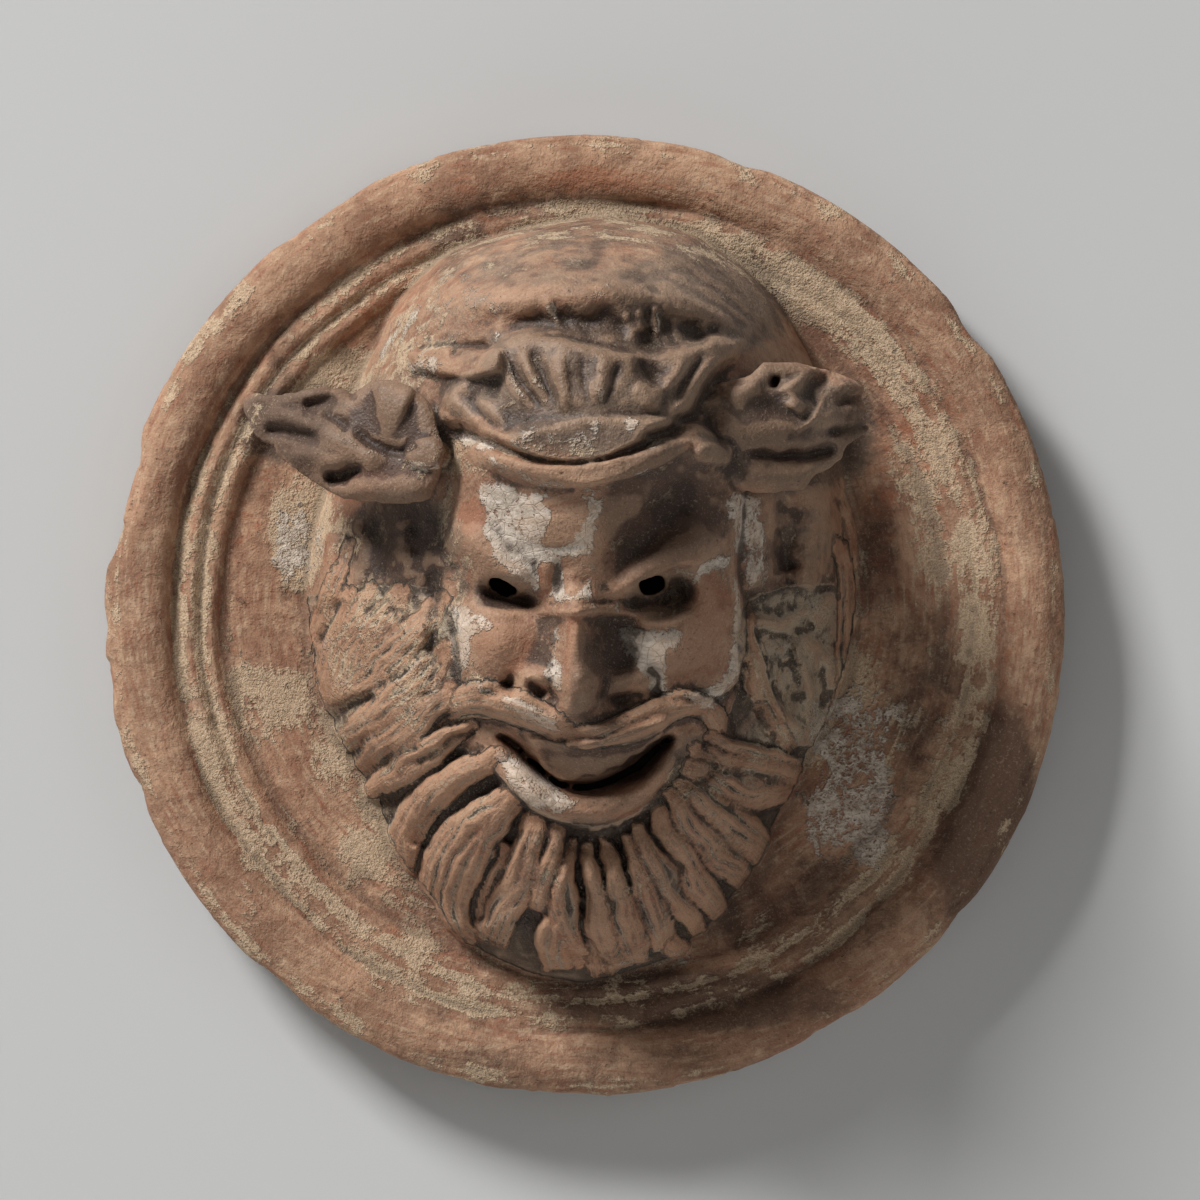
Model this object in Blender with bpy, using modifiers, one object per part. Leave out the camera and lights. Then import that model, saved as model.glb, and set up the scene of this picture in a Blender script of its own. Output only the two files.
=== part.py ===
"""A fired clay roundel with a satyr's mask in high relief, made to be fixed to a wall.

The roundel stands upright with its back against the wall. Its front faces -Y and +Z is up.
The origin is on the flat back, at the point above the mask where the wall fixing holds it.
The clay was thrown as a disc, and the mask, beard, hair and ivy leaves were pressed on while
it was wet, so after firing it is one piece. All shapes are laid out in a working frame with
x to the right, y up and z out of the disc, which turns upright at the end.
"""

import math

import bmesh
import bpy
import numpy as np

# The disc, in metres. Radii run from the middle, heights from the flat back.
DISC_DIAMETER = 0.400
LIP_WIDTH = 0.009
BAND_WIDTH = 0.020
INNER_RING_WIDTH = 0.018
FIELD_THICKNESS = 0.018
LIP_THICKNESS = 0.021
BAND_THICKNESS = 0.030
GROOVE_THICKNESS = 0.020
RING_THICKNESS = 0.025
DISC_STEPS = 84

# The mask, in metres. The clay wall is the thickness left round the hollow behind the face.
HEAD_HEIGHT = 0.316
CLAY_WALL = 0.017
EYE_HOLE_WIDTH = 0.011

# The fixing point sits on the back, as far above the middle as the band's inner foot.
DISC_RADIUS = DISC_DIAMETER / 2
MOUNT_RADIUS = DISC_RADIUS - LIP_WIDTH - BAND_WIDTH

# The carving is laid out in shares of the head's height: one unit is a 316th of it.
UNIT = HEAD_HEIGHT / 316
HEAD_SINK = FIELD_THICKNESS / 2 / UNIT
MOUTH = (-2.0, -58.0)

# The solid is fused on a grid of small cubes and then thinned to a set number of triangles.
FUSE_CELL = 0.0022
MASK_TRIANGLES = 5700
CUT_CLEARANCE = 0.004


def clear_scene():
    for obj in list(bpy.data.objects):
        bpy.data.objects.remove(obj)


def eased(stations, values, at):
    """A smooth curve through the values at the stations, by cubic pieces with averaged slopes."""
    stations = np.asarray(stations, float)
    values = np.asarray(values, float)
    slope = np.gradient(values, stations)
    at = np.clip(at, stations[0], stations[-1])
    i = np.clip(np.searchsorted(stations, at) - 1, 0, len(stations) - 2)
    span = stations[i + 1] - stations[i]
    t = (at - stations[i]) / span
    start = (1 + 2 * t) * (1 - t) ** 2 * values[i] + t * (1 - t) ** 2 * span * slope[i]
    end = t * t * (3 - 2 * t) * values[i + 1] + t * t * (t - 1) * span * slope[i + 1]
    return start + end


def mound(x, y, centre, spread):
    """A round swelling that falls off like a bell from its centre."""
    return np.exp(-(((x - centre[0]) / spread[0]) ** 2 + ((y - centre[1]) / spread[1]) ** 2) / 2)


def distance_to_line(x, y, points):
    """Distance from each x, y to the nearest point of a line through the points."""
    nearest = np.full(np.shape(x), np.inf)
    for (ax, ay), (bx, by) in zip(points[:-1], points[1:]):
        dx, dy = bx - ax, by - ay
        t = np.clip(((x - ax) * dx + (y - ay) * dy) / (dx * dx + dy * dy), 0, 1)
        nearest = np.minimum(nearest, np.hypot(x - ax - t * dx, y - ay - t * dy))
    return nearest


def fold(x, y, points, width):
    """A soft ridge of unit height along a line."""
    return np.exp(-((distance_to_line(x, y, points) / width) ** 2) / 2)


# Half width and middle height of the head, from the beard's tip up to the crown.
HEAD_LEVELS = (-154, -146, -130, -108, -85, -60, -35, 0, 30, 60, 90, 112, 132, 146, 156, 162)
HEAD_HALF_WIDTHS = (4, 32, 54, 74, 91, 104, 113, 118, 116, 107, 98, 89, 75, 57, 38, 6)
HEAD_HEIGHTS = (0, 26, 48, 66, 80, 90, 95, 98, 108, 116, 122, 121, 110, 86, 52, 4)


def head_mass(x, y, inset=0.0):
    """Height of the plain head over the field; inset moves it inwards all round."""
    low, high = HEAD_LEVELS[0], HEAD_LEVELS[-1]
    middle = (low + high) / 2
    level = middle + (y - middle) * (high - low) / (high - low - 2 * inset)
    half = np.maximum(eased(HEAD_LEVELS, HEAD_HALF_WIDTHS, level) - inset, 1.0)
    top = np.maximum(eased(HEAD_LEVELS, HEAD_HEIGHTS, level) - inset, -HEAD_SINK)
    across = np.clip(np.abs(x) / half, 0, 1)
    roundness = eased((low, -60, 60, 110, high), (1.1, 0.85, 0.85, 0.7, 0.6), level)
    outside = (level <= low) | (level >= high)
    return np.where(outside, -HEAD_SINK, (top + HEAD_SINK) * (1 - across**2.2) ** roundness - HEAD_SINK)


LEFT_EYE = (-33.0, 9.5)
RIGHT_EYE = (28.5, 9.5)
MOUTH_LINE = ((-44, -46), (-34, -56), (-18, -66), (0, -70), (18, -66), (32, -57), (40, -48))


FACE_CENTRE = (-1.0, 4.0)
FACE_HALF_SIZE = (63.0, 78.0)
FACE_RAISE = 12.0


def head_surface(x, y):
    """Height of the head with the face raised and brow, eye sockets and mouth pressed into it."""
    height = head_mass(x, y)
    out = np.hypot((x - FACE_CENTRE[0]) / FACE_HALF_SIZE[0], (y - FACE_CENTRE[1]) / FACE_HALF_SIZE[1])
    height += FACE_RAISE / (1 + np.exp((out - 0.93) / 0.045))
    height += 11 * fold(x, y, ((-56, 26), (-42, 23), (-24, 15), (-12, 6)), 6.5)
    height += 11 * fold(x, y, ((6, 6), (20, 15), (38, 23), (54, 30)), 6.5)
    height += 5 * mound(x, y, (-22, 36), (18, 10)) + 5 * mound(x, y, (20, 36), (18, 10))
    for eye in (LEFT_EYE, RIGHT_EYE):
        height -= 17 * mound(x, y, eye, (12, 7.5))
    height += 5 * fold(x, y, ((-48, 5), (-34, -1), (-20, 0)), 3)
    height += 5 * fold(x, y, ((16, 0), (30, -1), (44, 6)), 3)
    height -= 60 * fold(x, y, MOUTH_LINE, 3.6)
    return height


def add_height_solid(clay, surface, plain, half_width, low, high, cell, base):
    """A closed block between a height function above and a flat base below, in carving units.
    It covers the ground where the plain form stands clear of its lowest level."""
    across, up = round(2 * half_width / cell), round((high - low) / cell)
    grid = bmesh.ops.create_grid(clay, x_segments=across, y_segments=up, size=1.0)["verts"]
    for vert in grid:
        vert.co.x *= half_width
        vert.co.y = low + (vert.co.y + 1) / 2 * (high - low)
        vert.co.z = base
    spots = np.array([vert.co[:2] for vert in grid])
    around = plain(spots[:, 0], spots[:, 1])
    outside = [vert for vert, height in zip(grid, around) if height < -0.7 * HEAD_SINK]
    floor = [vert for vert, height in zip(grid, around) if height >= -0.7 * HEAD_SINK]
    bmesh.ops.delete(clay, geom=outside, context="VERTS")
    faces = list({face for vert in floor for face in vert.link_faces})
    raised = bmesh.ops.extrude_face_region(clay, geom=faces)
    tops = [item for item in raised["geom"] if isinstance(item, bmesh.types.BMVert)]
    x = np.array([vert.co.x for vert in tops])
    y = np.array([vert.co.y for vert in tops])
    for vert, height in zip(tops, np.maximum(surface(x, y), base + 0.5)):
        vert.co.z = height
    bmesh.ops.scale(clay, vec=(UNIT, UNIT, UNIT), verts=floor + tops)


def evaluated_mesh(obj):
    """A mesh of the object as its modifiers leave it."""
    bpy.context.view_layer.update()
    depsgraph = bpy.context.evaluated_depsgraph_get()
    return bpy.data.meshes.new_from_object(obj.evaluated_get(depsgraph))


def add_tube(clay, points, radii):
    """A round clay roll through the points, in carving units, as a curve with filled ends."""
    curve = bpy.data.curves.new("roll", "CURVE")
    curve.dimensions = "3D"
    curve.bevel_depth = UNIT
    curve.bevel_resolution = 3
    curve.use_fill_caps = True
    spline = curve.splines.new("POLY")
    spline.points.add(len(points) - 1)
    for slot, point, radius in zip(spline.points, points, radii):
        slot.co = (point[0] * UNIT, point[1] * UNIT, point[2] * UNIT, 1)
        slot.radius = radius
    guide = bpy.data.objects.new("roll", curve)
    bpy.context.scene.collection.objects.link(guide)
    mesh = evaluated_mesh(guide)
    clay.from_mesh(mesh)
    bpy.data.objects.remove(guide)
    bpy.data.meshes.remove(mesh)


def add_roll(clay, stations, radii, pieces=12):
    """A roll through a few stations, eased into a smooth line first."""
    knots = np.linspace(0, 1, len(stations))
    at = np.linspace(0, 1, pieces + 1)
    line = np.stack([eased(knots, axis, at) for axis in np.transpose(stations)], axis=1)
    add_tube(clay, line, eased(knots, radii, at))


def add_pat(clay, centre, radii):
    """An egg of clay, in carving units."""
    made = bmesh.ops.create_uvsphere(clay, u_segments=20, v_segments=12, radius=1.0)
    bmesh.ops.scale(clay, vec=[r * UNIT for r in radii], verts=made["verts"])
    bmesh.ops.translate(clay, vec=[c * UNIT for c in centre], verts=made["verts"])


# Beard locks, fanned round the mouth: angle and distance of root and tip, and thickness.
BEARD_LOCKS = (
    (171, 43, 212, 82, 8.5),
    (199, 37, 229, 89, 9.5),
    (225, 33, 242, 87, 8.5),
    (246, 31, 258, 89, 8),
    (263, 31, 269, 84, 7),
    (279, 31, 280, 89, 8),
    (295, 32, 292, 87, 8),
    (310, 35, 305, 91, 9),
    (325, 39, 317, 86, 8.5),
    (343, 43, 331, 88, 9),
    (2, 56, 353, 88, 9),
    (163, 60, 191, 86, 9),
    (155, 66, 179, 92, 9),
    (146, 84, 170, 98, 8),
    (139, 130, 157, 112, 8),
    (34, 82, 6, 94, 8.5),
    (29, 98, 15, 108, 8),
    (38, 124, 24, 118, 7),
)
LOCK_STATIONS = 7
LOCK_LIFT = 1.5


def beard_lock(root_angle, root_distance, tip_angle, tip_distance, thickness):
    """Stations and radii of one lock, which lies on the head and thins towards its tip."""
    share = np.linspace(0, 1, LOCK_STATIONS)
    turn = root_angle + (tip_angle - root_angle + 180) % 360 - 180 - root_angle
    swing = 6 * np.sin(2 * math.pi * share)
    angle = np.radians(root_angle + turn * share + swing * np.sign(turn or 1))
    distance = root_distance + (tip_distance - root_distance) * share
    x, y = MOUTH[0] + distance * np.cos(angle), MOUTH[1] + distance * np.sin(angle)
    z = head_mass(x, y) + LOCK_LIFT
    radii = thickness * eased((0, 0.35, 0.8, 1), (0.75, 1, 0.85, 0.45), share)
    return np.stack([x, y, z], axis=1), radii


def add_beard(clay):
    for lock in BEARD_LOCKS:
        stations, radii = beard_lock(*lock)
        add_tube(clay, stations, radii)


def add_nose_and_cheeks(clay):
    nose = ((-4, 8, 107), (-3, -8, 113), (-1, -24, 118), (0, -36, 120))
    add_roll(clay, nose, (8, 10, 13, 13))
    add_pat(clay, (0, -40, 120), (11, 9, 11))
    for side in (-1, 1):
        add_pat(clay, (side * 18 - 1, -30, 112), (11, 10, 10))
    add_pat(clay, (-40, -15, 82), (22, 22, 22))
    add_pat(clay, (41, -13, 84), (23, 25, 22))


def add_mouth(clay):
    """Upper teeth, full lower lip, and the two halves of the moustache."""
    teeth = ((-32, -46, 98), (-16, -54, 104), (0, -57, 106), (16, -54, 104), (30, -47, 98))
    lower_lip = ((-45, -51, 90), (-27, -69, 97), (-2, -78, 101), (22, -72, 98), (40, -55, 91))
    left_half = ((-4, -45, 113), (-22, -41, 113), (-40, -36, 104), (-56, -40, 93), (-68, -52, 82))
    right_half = ((2, -45, 113), (20, -42, 112), (37, -34, 105), (50, -38, 97), (56, -50, 90))
    add_roll(clay, teeth, (6, 7, 7, 7, 6))
    add_pat(clay, (0, -46, 106), (12, 8, 9))
    add_roll(clay, lower_lip, (4.5, 7, 8, 7, 4.5))
    add_roll(clay, left_half, (7, 8, 8, 7, 5))
    add_roll(clay, right_half, (7, 8, 8, 7, 6))


def add_hair(clay):
    """The thick roll of hair over the brow and the headband under it."""
    roll = ((-52, 86, 86), (-35, 90, 103), (-8, 95, 112), (22, 96, 112), (45, 101, 100), (60, 104, 84))
    headband = ((-56, 66, 102), (-30, 54, 120), (0, 49, 127), (24, 53, 121), (46, 66, 107))
    add_roll(clay, roll, (14, 24, 31, 30, 22, 14))
    add_roll(clay, headband, (7, 7, 7, 7, 7))


def add_riding_roll(clay, route, radii, lift):
    """A roll whose x and y are given and which lies on the plain head, lifted a little."""
    x, y = np.transpose(np.asarray(route, float))
    add_roll(clay, np.stack([x, y, head_mass(x, y) + lift], axis=1), radii)


def add_ears(clay):
    """The ears' rims, and the locks of hair that hang between them and the cheeks."""
    rim = np.array(((86, 54), (99, 42), (101, 20), (89, 2)))
    lock = np.array(((72, 60), (73, 30), (74, 0)))
    for side in (-1, 1):
        add_riding_roll(clay, rim * (side, 1), (8, 8, 8, 7), 4)
        add_riding_roll(clay, lock * (side, 1), (9, 9, 7), 0)


LEAF_THICKNESS = 8.0
LEFT_LEAF_REACH = (
    (0, 19), (30, 22), (58, 24), (98, 28), (123, 29), (150, 44), (163, 63), (171, 60),
    (186, 46), (207, 32), (236, 28), (263, 25), (303, 27), (330, 20), (360, 19),
)
RIGHT_LEAF_REACH = (
    (0, 36), (12, 37), (21, 40), (40, 34), (59, 30), (84, 26), (112, 24), (136, 26), (156, 30),
    (175, 34), (190, 33), (216, 29), (230, 31), (263, 27), (290, 27), (317, 27), (331, 30),
    (341, 28), (352, 34), (360, 36),
)


LEAF_SECTION = (
    (0.25, 1), (0.5, 1), (0.75, 0.95), (0.92, 0.8), (1, 0.4),
    (1, -0.4), (0.92, -0.8), (0.75, -0.95), (0.5, -1), (0.25, -1),
)


def add_leaf(clay, centre, reach, lean, spokes=36):
    """An ivy leaf as a closed thick sheet. Reach is its outline as angle and distance pairs
    round the centre, and lean how much its height changes along x and y. The section gives
    shares of the reach, and of half the thickness, from the front round to the back."""
    angles, distances = zip(*reach)
    turn = np.linspace(0, 360, spokes, endpoint=False)
    edge = eased(angles, distances, turn)
    loops = []
    for share, side in LEAF_SECTION:
        x = share * edge * np.cos(np.radians(turn))
        y = share * edge * np.sin(np.radians(turn))
        bow = lean[0] * x + lean[1] * y - 0.004 * (x * x + y * y)
        spots = np.stack([x, y, bow + side * LEAF_THICKNESS / 2], axis=1) + centre
        loops.append([clay.verts.new(spot) for spot in spots * UNIT])
    poles = []
    for side in (1, -1):
        spot = np.array(centre) + (0, 0, side * LEAF_THICKNESS / 2)
        poles.append(clay.verts.new(spot * UNIT))
    for k in range(spokes):
        after = (k + 1) % spokes
        clay.faces.new((poles[0], loops[0][k], loops[0][after]))
        clay.faces.new((poles[1], loops[-1][after], loops[-1][k]))
        for inner, outer in zip(loops[:-1], loops[1:]):
            clay.faces.new((inner[k], outer[k], outer[after], inner[after]))


def add_wreath(clay):
    add_leaf(clay, (-78, 68, 90), LEFT_LEAF_REACH, (0.45, -0.15))
    add_leaf(clay, (76, 76, 90), RIGHT_LEAF_REACH, (-0.5, -0.1))
    add_pat(clay, (-63, 64, 98), (10.5, 8, 8))
    add_pat(clay, (51, 64, 108), (10, 7, 8))


def disc_profile():
    """Radius and height of the disc's turned outline, from the middle of the front to the back."""
    band_out = DISC_RADIUS - LIP_WIDTH
    band_in = band_out - BAND_WIDTH
    ring_in = band_in - INNER_RING_WIDTH
    return [
        (0, FIELD_THICKNESS),
        (ring_in - 0.010, FIELD_THICKNESS),
        (ring_in, GROOVE_THICKNESS),
        (ring_in + 0.15 * INNER_RING_WIDTH, RING_THICKNESS - 0.001),
        (ring_in + 0.30 * INNER_RING_WIDTH, RING_THICKNESS - 0.003),
        (ring_in + 0.55 * INNER_RING_WIDTH, RING_THICKNESS),
        (ring_in + 0.80 * INNER_RING_WIDTH, RING_THICKNESS - 0.001),
        (band_in, GROOVE_THICKNESS),
        (band_in + 0.20 * BAND_WIDTH, BAND_THICKNESS - 0.004),
        (band_in + 0.50 * BAND_WIDTH, BAND_THICKNESS),
        (band_in + 0.85 * BAND_WIDTH, BAND_THICKNESS - 0.003),
        (band_out, LIP_THICKNESS - 0.002),
        (band_out + 0.35 * LIP_WIDTH, LIP_THICKNESS),
        (DISC_RADIUS - 0.001, LIP_THICKNESS - 0.003),
        (DISC_RADIUS, LIP_THICKNESS / 2),
        (DISC_RADIUS, 0),
        (0, 0),
    ]


def turned_disc(collection):
    """The thrown disc: its outline turned about z by a Screw modifier."""
    outline = disc_profile()
    mesh = bpy.data.meshes.new("roundel")
    edges = [(i, i + 1) for i in range(len(outline) - 1)]
    mesh.from_pydata([(radius, 0, height) for radius, height in outline], edges, [])
    disc = bpy.data.objects.new("roundel", mesh)
    collection.objects.link(disc)
    set_upright(disc)
    screw = disc.modifiers.new("turn", "SCREW")
    screw.steps = screw.render_steps = DISC_STEPS
    screw.use_merge_vertices = True
    screw.merge_threshold = 0.0001
    return disc


def mesh_object(name, shape, collection):
    """An object from a bmesh, turned from the working frame to upright."""
    bmesh.ops.recalc_face_normals(shape, faces=shape.faces)
    mesh = bpy.data.meshes.new(name)
    shape.to_mesh(mesh)
    shape.free()
    obj = bpy.data.objects.new(name, mesh)
    collection.objects.link(obj)
    set_upright(obj)
    return obj


def set_upright(obj):
    """Turns the working frame's z to face -Y and hangs it from the fixing point."""
    obj.rotation_euler = (math.pi / 2, 0, 0)
    obj.location = (0, 0, -MOUNT_RADIUS)


def clay_material():
    material = bpy.data.materials.new("fired_clay")
    material.use_nodes = True
    shader = material.node_tree.nodes["Principled BSDF"]
    shader.inputs["Base Color"].default_value = (0.36, 0.20, 0.13, 1)
    shader.inputs["Roughness"].default_value = 0.85
    shader.inputs["Metallic"].default_value = 0.0
    return material


def hollow_cutter(collection):
    """The hollow behind the mask: the head's own mass moved in by the clay wall, open at the back."""
    shape = bmesh.new()
    inset = CLAY_WALL / UNIT
    base = -(FIELD_THICKNESS + CUT_CLEARANCE) / UNIT

    def inner(x, y):
        return head_mass(x, y, inset)

    add_height_solid(shape, inner, inner, 122, -152, 167, 10.5, base)
    bmesh.ops.translate(shape, vec=(0, 0, FIELD_THICKNESS), verts=shape.verts)
    return mesh_object("hollow", shape, collection)


def eye_cutter(name, eye, collection):
    """A square-ended pin pushed through the clay at the eye."""
    shape = bmesh.new()
    made = bmesh.ops.create_cone(shape, cap_ends=True, segments=8, radius1=0.5, radius2=0.5, depth=1.0)
    reach = 90 * UNIT
    middle = (eye[0] * UNIT, eye[1] * UNIT, FIELD_THICKNESS + 90 * UNIT)
    bmesh.ops.scale(shape, vec=(EYE_HOLE_WIDTH, EYE_HOLE_WIDTH * 0.8, reach), verts=made["verts"])
    bmesh.ops.translate(shape, vec=middle, verts=made["verts"])
    return mesh_object(name, shape, collection)


def modelled_mask(collection):
    """All the clay of the mask as one body, fused on a fine grid and thinned where it is plain."""
    clay = bmesh.new()
    add_height_solid(clay, head_surface, head_mass, 122, -154, 169, 3, -HEAD_SINK)
    add_nose_and_cheeks(clay)
    add_mouth(clay)
    add_hair(clay)
    add_ears(clay)
    add_beard(clay)
    add_wreath(clay)
    bmesh.ops.translate(clay, vec=(0, 0, FIELD_THICKNESS), verts=clay.verts)
    mask = mesh_object("mask", clay, collection)
    fuse = mask.modifiers.new("fuse", "REMESH")
    fuse.mode = "VOXEL"
    fuse.voxel_size = FUSE_CELL
    fused = evaluated_mesh(mask)
    mask.modifiers.remove(fuse)
    mask.data = fused
    smooth = mask.modifiers.new("smooth", "SMOOTH")
    smooth.factor = 0.5
    smooth.iterations = 2
    thin_to(mask, MASK_TRIANGLES)
    return mask


def thin_to(obj, triangles):
    """Adds a Decimate modifier that leaves about this many triangles."""
    shape = evaluated_mesh(obj)
    shape.calc_loop_triangles()
    thin = obj.modifiers.new("thin", "DECIMATE")
    thin.ratio = min(1.0, triangles / len(shape.loop_triangles))
    bpy.data.meshes.remove(shape)


def combine(target, tool, operation):
    """Joins a helper to the target, or cuts it away, and keeps the helper out of the render."""
    tool.hide_render = True
    tool.display_type = "WIRE"
    step = target.modifiers.new(tool.name, "BOOLEAN")
    step.operation = operation
    step.object = tool


def main():
    clear_scene()
    scene = bpy.context.scene
    part = bpy.data.collections.new("relief_roundel")
    cutters = bpy.data.collections.new("cutters")
    scene.collection.children.link(part)
    scene.collection.children.link(cutters)
    roundel = turned_disc(part)
    roundel.data.materials.append(clay_material())
    combine(roundel, modelled_mask(cutters), "UNION")
    combine(roundel, hollow_cutter(cutters), "DIFFERENCE")
    combine(roundel, eye_cutter("left_eye", LEFT_EYE, cutters), "DIFFERENCE")
    combine(roundel, eye_cutter("right_eye", RIGHT_EYE, cutters), "DIFFERENCE")


main()
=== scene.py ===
"""A fired clay roundel with a satyr's mask in high relief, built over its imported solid."""

import math

import bpy
import numpy as np
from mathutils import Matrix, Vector


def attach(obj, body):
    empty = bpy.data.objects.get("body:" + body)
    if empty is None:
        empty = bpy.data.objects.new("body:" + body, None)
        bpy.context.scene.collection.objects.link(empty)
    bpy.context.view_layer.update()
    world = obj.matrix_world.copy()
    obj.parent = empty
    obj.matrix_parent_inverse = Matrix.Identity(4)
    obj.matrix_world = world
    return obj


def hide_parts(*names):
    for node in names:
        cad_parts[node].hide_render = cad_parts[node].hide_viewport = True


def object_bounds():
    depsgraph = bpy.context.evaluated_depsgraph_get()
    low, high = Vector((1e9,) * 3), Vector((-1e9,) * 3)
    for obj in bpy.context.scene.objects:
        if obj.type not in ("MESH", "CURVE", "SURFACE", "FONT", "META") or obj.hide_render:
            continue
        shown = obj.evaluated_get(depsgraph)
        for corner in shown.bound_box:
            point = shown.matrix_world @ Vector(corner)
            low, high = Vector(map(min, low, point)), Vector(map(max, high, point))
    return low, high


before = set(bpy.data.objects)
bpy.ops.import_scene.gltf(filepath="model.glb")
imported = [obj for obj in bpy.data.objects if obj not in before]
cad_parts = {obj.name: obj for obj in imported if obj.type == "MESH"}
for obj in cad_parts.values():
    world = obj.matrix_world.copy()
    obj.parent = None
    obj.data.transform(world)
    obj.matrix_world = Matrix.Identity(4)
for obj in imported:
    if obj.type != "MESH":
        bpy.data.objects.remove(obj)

cad_low, cad_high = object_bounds()


# The camera stands straight in front of the disc, a little up and to the right of its middle,
# and so far off that the parts of the relief that stand out most look only slightly larger.
# CAMERA_REACH is its distance from the disc's face, and CAMERA_AIM its place on the sheet.
CAMERA_REACH = 2.2
CAMERA_AIM = (0.0062, 0.0062)
FACE_PLANE = 0.025
DISC_MIDDLE = -0.171
camera_data = bpy.data.cameras.new("camera")
camera_data.sensor_width = 36
camera_data.lens = 18 * CAMERA_REACH / 0.2485
camera = bpy.data.objects.new("camera", camera_data)
camera.location = (CAMERA_AIM[0], -(CAMERA_REACH + FACE_PLANE), DISC_MIDDLE + CAMERA_AIM[1])
camera.rotation_euler = (math.pi / 2, 0, 0)
bpy.context.scene.collection.objects.link(camera)
bpy.context.scene.camera = camera


# The clay is pinkish tan and was thrown as a disc on a wheel, with a hole left in its middle for
# the hollow of the mask. Its rim has a lip, a broad round band, a groove full of sand and two
# small ridges, all a little off true, and the lip is chipped. Lengths are millimetres and turns
# are degrees. The ridges are full where RING_FULLNESS is 1 and level with EVEN_SECTION where it is 0.
HOLE_REACH = (
    (-180, 98), (-165, 96), (-148, 97), (-125, 110), (-110, 121), (-90, 130), (-70, 120),
    (-55, 108), (-32, 93), (-14, 92), (0, 96), (33, 106), (59, 128), (75, 137), (90, 139),
    (105, 137), (120, 129), (147, 106), (165, 98), (180, 98),
)
RIM_SECTION = (
    (148, 18.2), (151, 18.6), (153.5, 21), (156, 22.6), (158.5, 21.8), (160.5, 20.4), (162.5, 22),
    (165, 23.4), (167.5, 22.2), (169.6, 20.8), (171.6, 20), (173, 21), (174.6, 23.6), (177, 25.6),
    (180, 26.8), (184, 27.2), (188, 27), (191.5, 26.4), (194, 25.6), (195.6, 24.6), (196.8, 24.2),
    (198, 24), (199.2, 22.4), (200, 18.5), (200, 8), (199.5, 2), (197.5, 0), (190, 0), (170, 0),
)
EVEN_SECTION = ((148, 18.2), (158, 20.8), (170, 23.4), (178, 25.8))
RING_FULLNESS = (
    (-180, 1.1), (-160, 0.8), (-140, 0.4), (-115, 0.3), (-90, 0.55), (-45, 0.35), (0, 0.35),
    (45, 0.3), (90, 0.3), (135, 0.9), (180, 1.1),
)
RIM_CHIPS = (
    (160, 172, 3.6), (181, 182, 1.6), (187, 189, 1.8), (200, 202, 1.2), (228, 232, 1.4),
    (262, 270, 1.0), (299, 303, 1.2), (320, 322, 1.4), (35, 38, 2.2), (70, 72, 1.2),
    (120, 128, 1.6),
)


def eased(stations, values, at):
    """A smooth curve through values at stations: cubic pieces whose slopes are local averages."""
    stations = np.asarray(stations, float)
    values = np.asarray(values, float)
    slope = np.gradient(values, stations)
    at = np.clip(at, stations[0], stations[-1])
    i = np.clip(np.searchsorted(stations, at) - 1, 0, len(stations) - 2)
    span = stations[i + 1] - stations[i]
    t = (at - stations[i]) / span
    start = (1 + 2 * t) * (1 - t) ** 2 * values[i] + t * (1 - t) ** 2 * span * slope[i]
    end = t * t * (3 - 2 * t) * values[i + 1] + t * t * (t - 1) * span * slope[i + 1]
    return start + end


def step(low, high, value):
    """Rises from 0 at low to 1 at high along a smooth S."""
    t = np.clip((value - low) / (high - low), 0, 1)
    return t * t * (3 - 2 * t)


def hashed(cells):
    """A fixed value from 0 to 1 for each whole-number cell, from products and shifts of its place."""
    n = cells[..., 0] * 73856093 ^ cells[..., 1] * 19349663 ^ cells[..., 2] * 83492791
    n = (n ^ (n >> 13)) * 1274126177
    return ((n ^ (n >> 16)) & 0xFFFF) / 65535


def noise(points, size):
    """Smooth values from -1 to 1: hashed values at the corners of cubes of the given size, blended
    between them by the same S as step."""
    scaled = points / size
    cell = np.floor(scaled).astype(np.int64)
    t = scaled - cell
    t = t * t * (3 - 2 * t)
    total = np.zeros(points.shape[:-1])
    for corner in np.ndindex(2, 2, 2):
        weight = np.prod(np.where(corner, t, 1 - t), axis=-1)
        total += weight * hashed(cell + np.array(corner))
    return total * 2 - 1


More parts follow.
